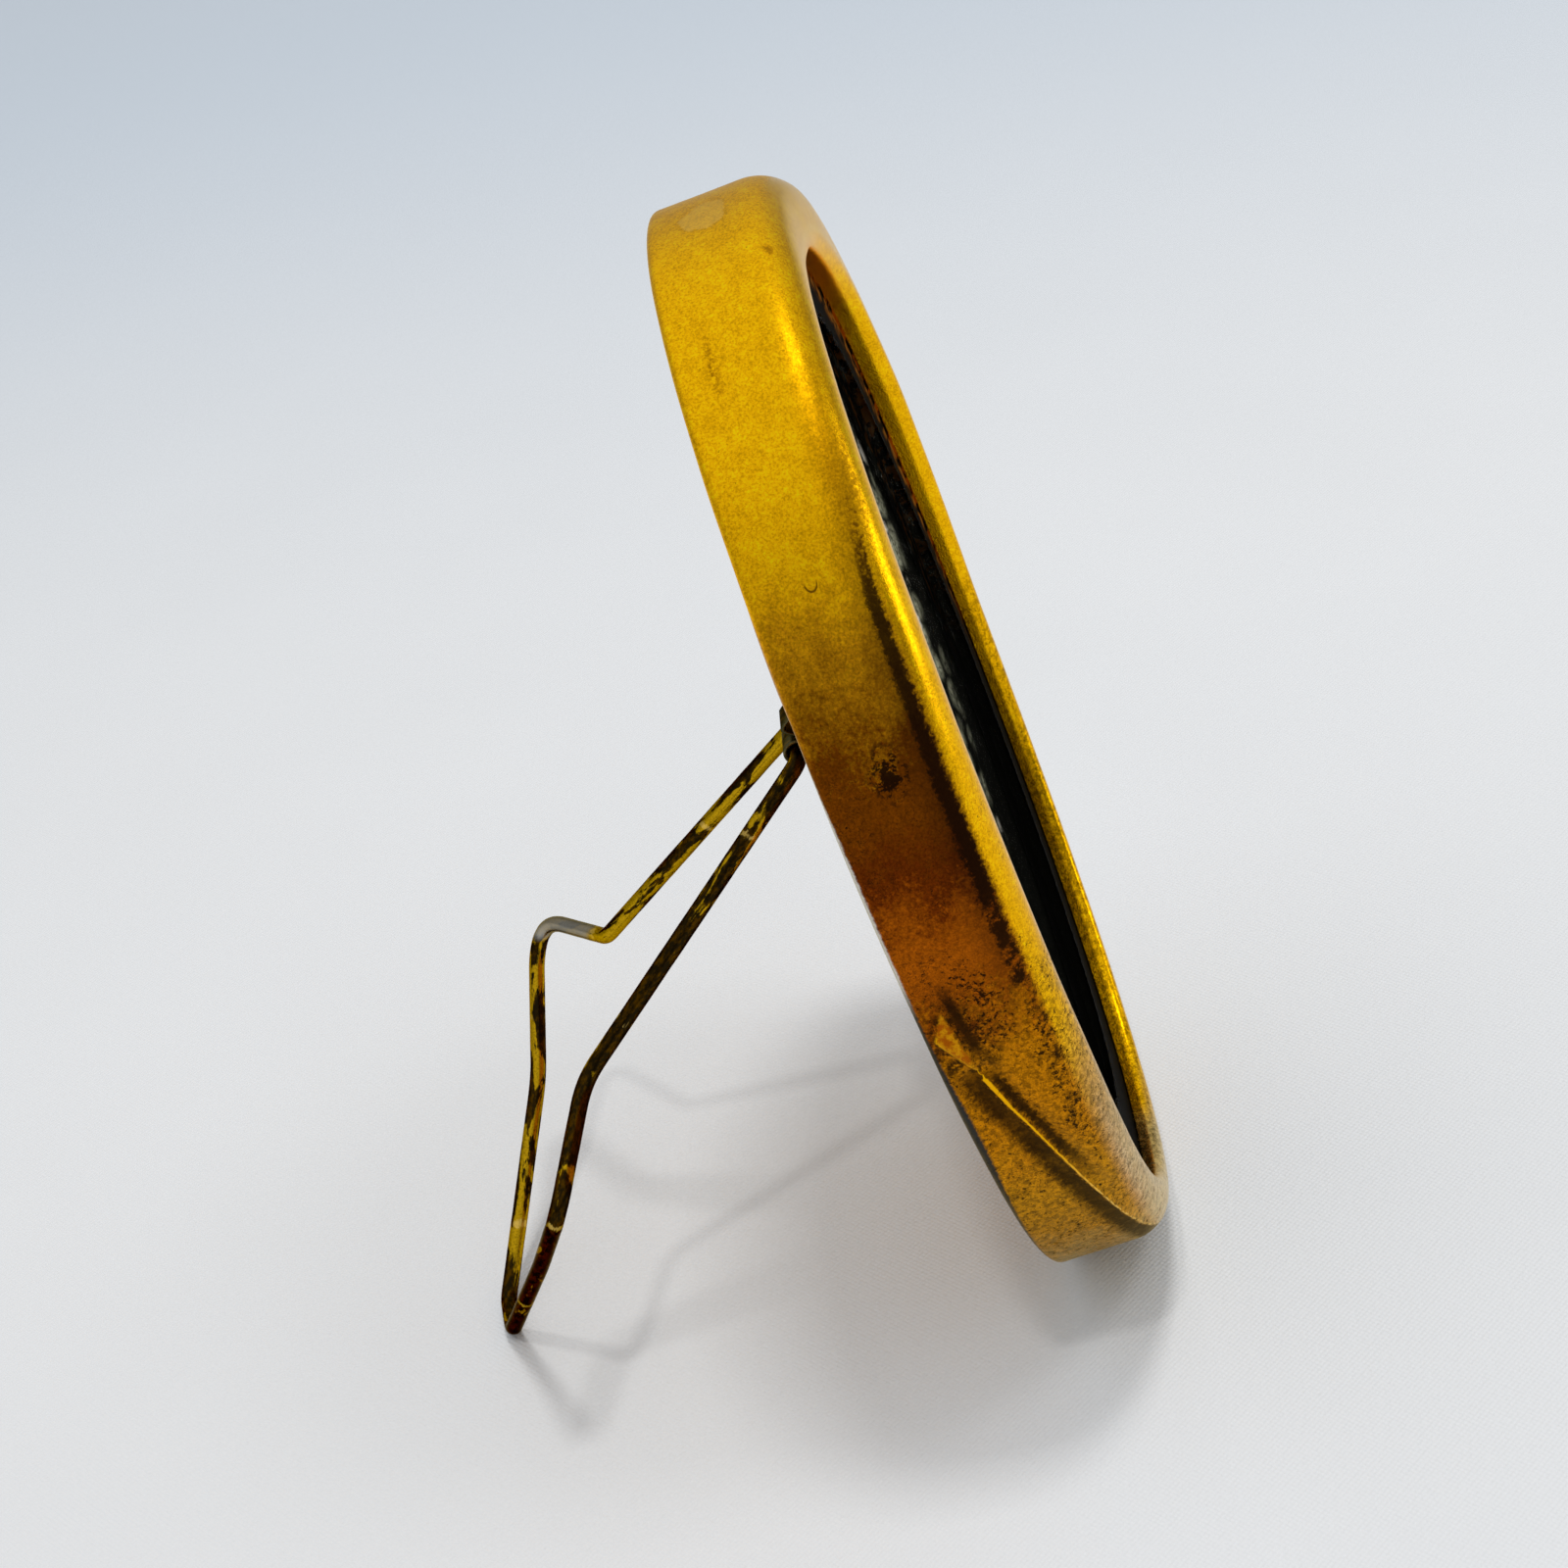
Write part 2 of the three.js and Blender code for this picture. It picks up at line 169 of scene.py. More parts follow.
class BackSizes(bpy.types.PropertyGroup):
    """Sizes of the back plate, the hinge strap and its rivets."""

    plate_inset: length("Plate inset", "Edge of the plate inside the outer oval", 1.0)
    plate_rear: length("Plate rear", "Rear face of the plate's band above the rear plane", 0.9)
    plate_sheet: length("Plate sheet", "Thickness of the plate", 0.6)
    boss_rise: length("Boss rise", "Top of the boss behind the rear plane", 3.8)
    boss_width: length("Boss width", "Width of the boss's top", 26)
    boss_height: length("Boss height", "Height of the boss's top", 38)
    boss_slope: length("Boss slope", "Spread of the boss at its foot", 4)
    boss_above_hinge: length("Boss above hinge", "Middle of the boss above the hinge", 6)
    leaf_width: length("Leaf width", "Width of the hinge strap", 9)
    leaf_length: length("Leaf length", "Strap above the hinge axis", 15.5)
    leaf_sheet: length("Leaf sheet", "Thickness of the strap", 0.45)
    leaf_seat: length("Leaf seat", "Front face of the strap behind the rear plane", 4.1)
    knuckle_width: length("Knuckle width", "Width of the curl round the wire", 3.8)
    knuckle_radius: length("Knuckle radius", "Outer radius of the curl", 1.45)
    bead_rise: length("Bead rise", "Height of the bead pressed across the strap", 2.2)
    bead_place: length("Bead place", "Bead above the hinge axis", 3.0)
    rivet_lower: length("Lower rivet", "Lower rivet above the hinge axis", 5.5)
    rivet_upper: length("Upper rivet", "Upper rivet above the hinge axis", 11.5)
    rivet_radius: length("Rivet radius", "Radius of a rivet's head", 1.7)
    rivet_height: length("Rivet height", "Height of a rivet's head", 0.45)
    rivet_tail: length("Rivet tail", "Length of a rivet below its head", 2.0)


class EaselSizes(bpy.types.PropertyGroup):
    """Sizes of the bent wire easel."""

    diameter: length("Diameter", "Diameter of the wire", 1.83)
    end_gap: length("End gap", "Between the wire's ends inside the knuckle", 1.0)
    top_width: length("Top width", "Legs at the knuckle, centre to centre", 7.2)
    kink_width: length("Kink width", "Legs at the kinks", 25.6)
    shoulder_width: length("Shoulder width", "Legs at the shoulders", 52)
    foot_width: length("Foot width", "Legs at the foot", 5)
    foot_offset: length("Foot offset", "Foot to one side of the middle", -6)
    leg_length: length("Leg length", "Hinge axis to the kinks", 38.3)
    shoulder_length: length("Shoulder length", "Kinks to the shoulders", 8.1)
    foot_reach: length("Foot reach", "Foot behind the shoulders", 11.95)
    foot_height: length("Foot height", "Middle of the wire above the floor at the foot", 0.95)
    top_bend: length("Top bend", "Bend at the knuckle", 1.6)
    kink_bend: length("Kink bend", "Bend at the kinks", 2.5)
    shoulder_bend: length("Shoulder bend", "Bend at the shoulders", 3.5)
    shin_bend: length("Shin bend", "Soft bend between shoulder and foot", 30)
    foot_bend: length("Foot bend", "Bend at the foot", 2.4)
    swing: degrees("Swing", "Upper legs from the upright", 44.9)
    sides: IntProperty(name="Sides", description="Faces round the wire", default=20, min=8)
    step: length("Step", "Mesh step along the wire", 0.3)


class FinishColours(bpy.types.PropertyGroup):
    """Colours of the brass, the picture and its packing."""

    # Bright brass also paints reflection: it makes the top of the rim bright where the brass mirrors a bright
    # surrounding, and it gives the pucker's edge its painted highlight.
    bright: colour("Bright brass", "Handled brass at the top and on the front rounding", 0.98, 0.495, 0.002)
    shine: colour("Rubbed brass", "Brass rubbed bright on crests", 0.98, 0.66, 0.16)
    olive: colour("Dull brass", "Dulled brass", 0.62, 0.27, 0.004)
    # Copper brown, umber and red brown also paint the dark reflection across the middle of the rim's wall.
    copper: colour("Copper brown", "Copper-brown tarnish", 0.115, 0.019, 0.001)
    umber: colour("Umber", "Brown tarnish above the copper", 0.18, 0.045, 0.001)
    rust: colour("Red brown", "Red-brown tarnish round the copper", 0.36, 0.085, 0.002)
    brown: colour("Brown brass", "Tarnished brass at the foot of the rim", 0.60, 0.22, 0.002)
    # Pale brass also paints the cloth's reflection at the foot of the rim.
    pale: colour("Pale brass", "Greyish brass at the foot", 0.72, 0.48, 0.14)
    # Painted reflection: the whitish sheen of the pale cloth mirrored on the front rounding at the foot.
    whitish_reflection: colour("Veil", "Whitish wear on the front rounding at the foot", 0.85, 0.77, 0.58)
    # Patina also paints the shade in the rim's crease and part of the dark reflection in the band.
    patina: colour("Patina", "Black-brown patina", 0.014, 0.005, 0.002)
    # Painted reflection on the rim's rounded rear edge: whitish above its middle and dark grey below; the
    # whitish colour also tints a pale patch on the wire.
    whitish_metal_and_reflection: colour("Worn plating", "Whitish metal on worn edges", 0.66, 0.64, 0.58)
    dark_edge_reflection: colour("Grey plating", "Dark grey metal on the rear edge", 0.032, 0.031, 0.030)
    wire: colour("Wire brass", "Worn brass of the wire", 0.56, 0.33, 0.006)
    wire_dark: colour("Wire patina", "Dark patina of the wire", 0.016, 0.010, 0.003)
    nickel: colour("Hinge metal", "Grey-olive metal of the hinge", 0.115, 0.10, 0.045)
    ground: colour("Print ground", "Dark ground of the print", 0.0015, 0.0016, 0.0013)
    leaf: colour("Print leaves", "Grey-green leaves of the print", 0.36, 0.36, 0.24)
    blossom: colour("Print blossoms", "Pale blossoms of the print", 0.80, 0.74, 0.62)
    amber: colour("Dark amber", "Faded amber in the pane's dark border", 0.28, 0.095, 0.008)
    dust: colour("Dust", "Dust on the pane", 0.20, 0.20, 0.15)
    card: colour("Card", "Brown packing card", 0.36, 0.26, 0.15)


class StudioSettings(bpy.types.PropertyGroup):
    """Floor, light and camera of the studio."""

    floor: colour("Floor", "Pale cloth under the frame", 0.74, 0.75, 0.765)
    distant: colour("Distant floor", "Cloth far behind the frame", 0.60, 0.66, 0.73)
    sky: colour("Sky", "Soft light from all round", 0.96, 0.98, 1.0)
    sky_strength: FloatProperty(name="Sky strength", description="Strength of the soft light", default=0.80)
    lens: FloatProperty(name="Lens", description="Focal length in millimetres", default=67.5)
    azimuth: degrees("Azimuth", "Camera round the frame", -85.619)
    elevation: degrees("Elevation", "Camera above the horizon", 31.38)
    roll: degrees("Roll", "Roll of the camera", -13.0)
    distance: length("Distance", "Camera to the point it looks past", 301.091)
    target: FloatVectorProperty(
        name="Target", description="Point that the camera looks past", default=(0, 16.258 * MM, 49.609 * MM),
        subtype="TRANSLATION",
    )
    aside: length("Aside", "Camera to the right of its target", -5.86)
    above: length("Above", "Camera above its target", 6.255)


# Meshes


def frame_pose(rim):
    """Matrix from frame coordinates to the world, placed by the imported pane."""
    low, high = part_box("glass_pane")
    turn = Matrix.Rotation(math.pi / 2 - rim.lean, 4, "X")
    return Matrix.Translation((low + high) / 2) @ turn @ Matrix.Translation((0, 0, -rim.pane_middle))


def hinge_place(pose):
    """The hinge axis in frame coordinates."""
    return pose.inverted() @ Vector(frame["joints"][0]["pos_m"])


def oval_point(turn, width, height, power):
    """A point of the oval and its outward normal."""

    def bowed(value):
        return math.copysign(abs(value) ** (2 / power), value)

    def slope(value, half):
        return math.copysign(abs(value / half) ** (power - 1), value) / half

    x = width / 2 * bowed(math.cos(turn))
    y = height / 2 * bowed(math.sin(turn))
    return Vector((x, y)), Vector((slope(x, width / 2), slope(y, height / 2))).normalized()


def rim_edge(turn, rim):
    """A point of the rim's outer oval and its outward normal."""
    return oval_point(turn, rim.width, rim.height, rim.power)


def bell(value, width):
    """1 at 0, falling softly to both sides."""
    return math.exp(-((value / width) ** 2))


def smooth(value, low, high):
    """Rises softly from 0 at low to 1 at high."""
    t = min(max((value - low) / (high - low), 0.0), 1.0)
    return t * t * (3 - 2 * t)


def make_piece(name, vertices, faces, body, nodes):
    """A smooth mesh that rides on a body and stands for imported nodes."""
    mesh = bpy.data.meshes.new(name)
    mesh.from_pydata([tuple(v) for v in vertices], [], faces)
    mesh.polygons.foreach_set("use_smooth", [True] * len(mesh.polygons))
    mesh.update()
    piece = bpy.data.objects.new(name, mesh)
    bpy.context.scene.collection.objects.link(piece)
    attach(piece, body)
    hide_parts(*nodes)
    return piece


def keep_places(piece, name, places):
    """Stores one vector for each corner of each face, for the finish to read."""
    layer = piece.data.attributes.new(name=name, type="FLOAT_VECTOR", domain="CORNER")
    layer.data.foreach_set("vector", [part for place in places for part in place])


def grid_faces(rows, columns):
    """Faces of a grid that closes both ways, as corner pairs of row and column."""
    for row in range(rows):
        for column in range(columns):
            yield (row, column), (row, column + 1), (row + 1, column + 1), (row + 1, column)


def ring_faces(rows, count):
    """Faces between rings of count points that follow each other."""
    faces = []
    for start in range(0, (rows - 1) * count, count):
        for k in range(count):
            ahead = (k + 1) % count
            faces.append([start + k, start + ahead, start + count + ahead, start + count + k])
    return faces


def rim_stations(rim):
    """Outer face of the rim's section, from the crimped flange to the edge of the opening.

    A station is inset, depth, run over the face and the tilt of the face's normal towards the front.
    """
    stations = []
    quarter = math.pi / 2

    def add(inset, depth, tilt):
        run = 0.0
        if stations:
            last = stations[-1]
            run = last[2] + math.hypot(inset - last[0], depth - last[1])
        stations.append((inset, depth, run, tilt))

    def line(start, end, tilt, step):
        count = max(2, round(math.dist(start, end) / step))
        for i in range(count):
            t = i / count
            add(start[0] + (end[0] - start[0]) * t, start[1] + (end[1] - start[1]) * t, tilt)

    def arc(inset, depth, radius, first, last, step):
        count = max(6, round(radius * abs(last - first) / step))
        for i in range(count):
            tilt = first + (last - first) * i / count
            add(inset - radius * math.cos(tilt), depth + radius * math.sin(tilt), tilt)

    step = rim.face_step
    wall_top = rim.depth - rim.front_radius
    lip_root = rim.lip_width - rim.lip_radius
    line((rim.rear_flange, 0), (rim.rear_radius, 0), -quarter, 2 * step)
    arc(rim.rear_radius, rim.rear_radius, rim.rear_radius, -quarter, 0, step)
    line((0, rim.rear_radius), (0, wall_top), 0, step)
    arc(rim.front_radius, wall_top, rim.front_radius, 0, quarter, step)
    line((rim.front_radius, rim.depth), (lip_root, rim.depth), quarter, step)
    arc(lip_root, rim.depth - rim.lip_radius, rim.lip_radius, quarter, 2 * quarter, step)
    lip_end = (rim.lip_width, rim.depth - rim.lip_return)
    line((rim.lip_width, rim.depth - rim.lip_radius), lip_end, 2 * quarter, step)
    add(*lip_end, 2 * quarter)
    return stations


def rim_columns(rim):
    """Turns round the oval with their arc from the near middle, closer together over the crease."""
    columns = []
    turn = math.pi
    arc = 0.0
    small = 1e-4
    fine_end = 64 * MM
    while turn < 3 * math.pi - 1e-6:
        columns.append((turn, -arc))
        speed = (rim_edge(turn + small, rim)[0] - rim_edge(turn, rim)[0]).length / small
        step = rim.fine_step if arc < fine_end else rim.coarse_step
        turn += step / speed
        arc += step
    return [(turn, place if -place < arc / 2 else place + arc) for turn, place in columns], arc


def crease_place(arc, run):
    """Place beside the crease in mm: inside the pucker, off the crest (positive above it) and along it."""
    inside = math.inf
    for (a0, r0), (a1, r1) in zip(PUCKER, PUCKER[1:] + PUCKER[:1]):
        leg = Vector((a1 - a0, r1 - r0)).normalized()
        inside = min(inside, leg.x * (run - r0) - leg.y * (arc - a0))
    best = None
    along = 0.0
    for (a0, r0), (a1, r1) in zip(CREST, CREST[1:]):
        leg = Vector((a1 - a0, r1 - r0))
        size = leg.length
        leg /= size
        offset = Vector((arc - a0, run - r0))
        t = min(max(offset.dot(leg), 0.0), size)
        gap = (offset - leg * t).length
        side = 1 if leg.y * offset.x - leg.x * offset.y > 0 else -1
        if best is None or gap < abs(best[0]):
            best = (side * gap, along + offset.dot(leg) if along == 0 else along + t)
        along += size
    return inside, best[0], best[1]


def crease_relief(arc, run):
    """Height of the crease above the even wall in mm, at a place given in mm."""
    inside, off, along = crease_place(arc, run)
    gap = abs(off)
    crest = max(0.0, 1.0 - gap / CREST_WIDTH) * CREST_HEIGHT * smooth(along, *CREST_START)
    valley = VALLEY_DEPTH * smooth(along, *VALLEY_START) * bell(gap - VALLEY_PLACE, VALLEY_WIDTH)
    pucker = PUCKER_HEIGHT * smooth(inside, *PUCKER_EDGE)
    dent = CREASE_DENT * smooth(along, *DENT_START) * bell(gap, DENT_WIDTH)
    return (crest - valley - dent + pucker) * smooth(along, *CREST_FADE) * smooth(run, *CREASE_FOOT)


def near_crease(arc):
    """Whether an arc lies where the crease is."""
    return CREASE_REACH[0] * MM < arc < CREASE_REACH[1] * MM


def rim_relief(arc, run, point, rim):
    """How far the sheet stands out at a place: its unevenness and the crease."""
    wave = noise.noise(Vector((point.x, point.y, run)) * RIM_WAVES[0])
    wave += 0.5 * noise.noise(Vector((run, point.y, point.x)) * RIM_WAVES[1])
    relief = rim.waviness * (wave - 1.0)
    if near_crease(arc):
        relief += crease_relief(arc / MM, run / MM) * MM
    return relief


def front_swell(edge, depth, tilt, rim):
    """How far the front of the far upper part stands out beyond the even depth."""
    far = smooth(edge.y / rim.height, *SWELL_RISE) * smooth(edge.x / rim.width, *SWELL_SIDE)
    if tilt > math.pi / 2:
        share = (depth - rim.depth + rim.lip_return) / rim.lip_return
    else:
        share = smooth(depth / rim.depth, *SWELL_FACE)
    return rim.swell * far * share


def build_rim(rim):
    """The pressed rim with its crease, crimped flange and turned-in lip."""
    pose = frame_pose(rim)
    outer = rim_stations(rim)
    inner = [s for i, s in enumerate(outer) if i % 3 == 0 or i == len(outer) - 1]
    rows = [(s, 0.0) for s in outer] + [(s, rim.sheet) for s in reversed(inner)]
    columns, round_length = rim_columns(rim)
    vertices = []
    for (inset, depth, run, tilt), sheet in rows:
        for turn, arc in columns:
            edge, normal = rim_edge(turn, rim)
            out = rim_relief(arc, run, edge, rim) - sheet
            wider = rim.top_lip * smooth(edge.y / rim.height, *LIP_RISE)
            wider *= smooth(edge.x / rim.width, *LIP_SIDE) * smooth(inset / rim.lip_width, *LIP_FACE)
            across = edge + normal * (out * math.cos(tilt) - inset - wider)
            front = depth + front_swell(edge, depth, tilt, rim)
            place = pose @ Vector((across.x, across.y, front + out * math.sin(tilt)))
            vertices.append([max(least, min(most, p)) for least, most, p in zip(*CAD_BOX, place)])
    count = len(columns)
    faces = []
    places = []
    creases = []
    for corners in grid_faces(len(rows), count):
        faces.append([(row % len(rows)) * count + column % count for row, column in corners])
        first_arc = columns[corners[0][1]][1]
        for row, column in corners:
            run = rows[row % len(rows)][0][2]
            turn, arc = columns[column % count]
            if arc - first_arc > round_length / 2:
                arc -= round_length
            rise = rim_edge(turn, rim)[0].y
            places.append((arc / MM, run / MM, rise / MM))
            creases.append(crease_place(arc / MM, run / MM) if near_crease(arc) else BEYOND_CREASE)
    piece = make_piece("brass_rim", vertices, faces, "frame", ["rim_shell"])
    keep_places(piece, "rim_place", places)
    keep_places(piece, "crease_place", creases)
    return piece


def bent_route(corners, bends, step):
    """Points along straight runs with rounded bends."""
    route = []

    def run(start, end):
        count = max(1, round((end - start).length / step))
        route.extend(start.lerp(end, i / count) for i in range(count))

    start = corners[0]
    for i in range(1, len(corners) - 1):
        corner = corners[i]
        before = corners[i - 1] - corner
        after = corners[i + 1] - corner
        room = BEND_ROOM * min(before.length, after.length)
        trim = min(bends[i - 1] / math.tan(before.angle(after) / 2), room)
        bend_start = corner + before.normalized() * trim
        bend_end = corner + after.normalized() * trim
        run(start, bend_start)
        count = max(6, round(2 * trim / step))
        for k in range(count):
            t = k / count
            route.append(bend_start.lerp(corner, t).lerp(corner.lerp(bend_end, t), t))
        start = bend_end
    run(start, corners[-1])
    route.append(corners[-1])
    return route


def easel_corners(easel, hinge):
    """Corners of the easel wire with their bends, from one end in the knuckle round the foot to the other."""
    down = Vector((0, math.sin(easel.swing), -math.cos(easel.swing)))
    kink = hinge + down * easel.leg_length
    shoulder = kink + down * easel.shoulder_length
    foot = Vector((easel.foot_offset, shoulder.y + easel.foot_reach, easel.foot_height))
    shin = shoulder.lerp(foot, SHIN_SHARE)
    shin_width = easel.shoulder_width + (easel.foot_width - easel.shoulder_width) * SHIN_SHARE
    places = [
        (hinge, easel.end_gap, 0.0),
        (hinge, easel.top_width, easel.top_bend),
        (kink, easel.kink_width, easel.kink_bend),
        (shoulder, easel.shoulder_width, easel.shoulder_bend),
        (shin, shin_width, easel.shin_bend),
        (foot, easel.foot_width, easel.foot_bend),
    ]
    legs = []
    for side, bows in ((-1, NEAR_BOWS), (1, FAR_BOWS)):
        legs.append([
            (middle + Vector((side * width / 2, 0, 0)) + Vector(bow[:3]) * MM, bend * bow[3])
            for (middle, width, bend), bow in zip(places, bows)
        ])
    return legs[0] + legs[1][::-1]


def sweep_tube(route, radius, sides):
    """Rings of a tube along a route, carried without twist, with the place of each point."""
    rings = []
    travelled = 0.0
    side = None
    for i, point in enumerate(route):
        ahead = route[min(i + 1, len(route) - 1)]
        behind = route[max(i - 1, 0)]
        heading = (ahead - behind).normalized()
        if side is None:
            side = heading.orthogonal().normalized()
        side = (side - heading * side.dot(heading)).normalized()
        up = heading.cross(side)
        if i:
            travelled += (point - behind).length
        ring = []
        for k in range(sides):
            angle = 2 * math.pi * k / sides
            way = side * math.cos(angle) + up * math.sin(angle)
            rough = 1.0 - WIRE_ROUGHNESS * (1 + noise.noise(point * WIRE_WAVES + way))
            ring.append((point + way * radius * rough, (travelled / MM, math.cos(angle), math.sin(angle))))
        rings.append(ring)
    return rings


def build_easel(easel):
    """The hand-bent wire easel."""
    corners = easel_corners(easel, Vector(frame["joints"][0]["pos_m"]))
    route = bent_route([place for place, _ in corners], [bend for _, bend in corners[1:-1]], easel.step)
    count = easel.sides
    rings = sweep_tube(route, easel.diameter / 2, count)
    points = [point for ring in rings for point in ring]
    faces = ring_faces(len(rings), count)
    faces.append(list(range(count - 1, -1, -1)))
    faces.append(list(range(len(points) - count, len(points))))
    vertices = [place for place, _ in points]
    piece = make_piece("easel_bow", vertices, faces, "easel", ["easel_wire"])
    keep_places(piece, "wire_place", [points[i][1] for face in faces for i in face])
    return piece


def build_back(rim, back):
    """The pressed back plate with its raised boss."""
    pose = frame_pose(rim)
    hinge = hinge_place(pose)
    middle = Vector((0, hinge.y + back.boss_above_hinge))
    segments = 180
    spread = 2 * back.boss_slope
    crown = -back.boss_rise + 0.1 * MM
    dimple = 0.06 * MM

    def ring(share, sheet):
        points = []
        depth = back.plate_rear + (crown - back.plate_rear) * smooth(share, 0.97, 2.03) + sheet
        for i in range(segments):
            turn = 2 * math.pi * i / segments
            edge, normal = rim_edge(turn, rim)
            edge = edge - normal * back.plate_inset
            top = oval_point(turn, back.boss_width, back.boss_height, rim.power)[0] + middle
            foot = oval_point(turn, back.boss_width + spread, back.boss_height + spread, rim.power)[0]
            foot += middle
            if share < 1:
                flat = edge.lerp(foot, share)
            elif share < 2:
                flat = foot.lerp(top, share - 1)
            else:
                flat = top.lerp(middle, share - 2)
            uneven = dimple * noise.noise(Vector((flat.x, flat.y, 0.3)) * BACK_WAVES)
            points.append(pose @ Vector((flat.x, flat.y, depth + uneven)))
        return points

    # Shares run from the plate's edge (0) over the boss's foot (1) and top (2) to its middle (3)
    shares = [0.16 * k for k in range(6)] + [0.9 + 0.1 * k for k in range(13)] + [2.2, 2.45, 2.7, 2.9]
    rings = [ring(share, 0.0) for share in shares]
    rings += [ring(share, back.plate_sheet) for share in reversed(shares)]
    vertices = [p for points in rings for p in points]
    half = len(vertices) // 2
    top = half - segments
    last = len(vertices) - segments
    faces = [face for face in ring_faces(len(rings), segments) if not top <= face[0] < half]
    faces.append(list(range(top, half)))
    faces.append(list(range(half + segments - 1, half - 1, -1)))
    for i in range(segments):
        ahead = (i + 1) % segments
        faces.append([last + i, last + ahead, ahead, i])
    return make_piece("back_sheet", vertices, faces, "frame", ["back_plate"])


def build_strap(rim, back):
    """The hinge strap: a flat leaf whose lower end curls round the wire."""
    pose = frame_pose(rim)
    hinge = hinge_place(pose)
    half = back.leaf_sheet / 2
    curl = back.knuckle_radius - half
    jog_end = 3.4 * MM
    bead_width = 1.15 * MM
    corner_length = 1.2 * MM
    corner_share = 0.20
    neck_start, neck_end = 4.2 * MM, 5.6 * MM
    bevel = 0.12 * MM
    route = []
    widths = []
    leaf_steps = 48
    for i in range(leaf_steps + 1):
        t = i / leaf_steps
        rise = back.leaf_length * (1 - t)
        jog = smooth(rise, 0.0, jog_end)
        depth = hinge.z + curl + (-back.leaf_seat - half - hinge.z - curl) * jog
        depth -= back.bead_rise * bell(rise - back.bead_place, bead_width)
        route.append((Vector((hinge.y + rise, depth)), 0.0))
        corner = min(1.0, max(0.0, (back.leaf_length - rise) / corner_length))
        top_width = back.leaf_width * (1 - corner_share + corner_share * math.sqrt(1 - (1 - corner) ** 2))
        neck = smooth(rise, neck_start, neck_end)
        widths.append(back.knuckle_width + (top_width - back.knuckle_width) * neck)
    curl_steps = 40
    curl_angle = math.radians(305)
    for i in range(1, curl_steps + 1):
        angle = curl_angle * i / curl_steps
        place = Vector((hinge.y - curl * math.sin(angle), hinge.z + curl * math.cos(angle)))
        route.append((place, angle))
        widths.append(back.knuckle_width)
    vertices = []
    for (place, angle), width in zip(route, widths):
        out = Vector((-math.sin(angle), math.cos(angle)))
        side = width / 2
        outline = [
            (side - bevel, half), (side, half - bevel), (side, bevel - half), (side - bevel, -half),
            (bevel - side, -half), (-side, bevel - half), (-side, half - bevel), (bevel - side, half),
        ]
        for across, off in outline:
            spot = place + out * off
            vertices.append(pose @ Vector((across, spot.x, spot.y)))
    section = len(outline)
    faces = ring_faces(len(route), section)
    faces.append(list(range(section - 1, -1, -1)))
    faces.append(list(range(len(vertices) - section, len(vertices))))
    return make_piece("hinge_leaf", vertices, faces, "frame", ["hinge_strap"])


def build_rivets(rim, back):
    """The domed rivets that hold the strap."""
    pose = frame_pose(rim)
    hinge = hinge_place(pose)
    seat = back.leaf_seat + back.leaf_sheet
    sides = 32
    shank = 0.45 * back.rivet_radius
    edge = 0.12 * MM
    tip = 0.02
    wear = 0.03
    profile = [(shank, -back.rivet_tail), (shank, 0.0)]
    dome_steps = 10
    for i in range(dome_steps + 1):
        angle = math.pi / 2 * i / dome_steps
        radius = back.rivet_radius * max(math.cos(angle), tip)
        profile.append((radius, edge + back.rivet_height * math.sin(angle)))
    made = []
    for place, rise in (("lower", back.rivet_lower), ("upper", back.rivet_upper)):
        vertices = []
        for radius, height in profile:
            for k in range(sides):
                angle = 2 * math.pi * k / sides
                worn = 1 + wear * math.sin(2 * angle + 4 * rise / MM)
                across = radius * worn * math.cos(angle)
                up = hinge.y + rise + radius * math.sin(angle)
                vertices.append(pose @ Vector((across, up, -seat - height)))
        faces = [[a, d, c, b] for a, b, c, d in ring_faces(len(profile), sides)]
        faces.append(list(range(sides)))
        faces.append(list(range(len(vertices) - 1, len(vertices) - sides - 1, -1)))
        node = f"hinge_rivet_{place}"
        made.append(make_piece(f"rivet_{place}", vertices, faces, "frame", [node]))
    return made


# Finishes


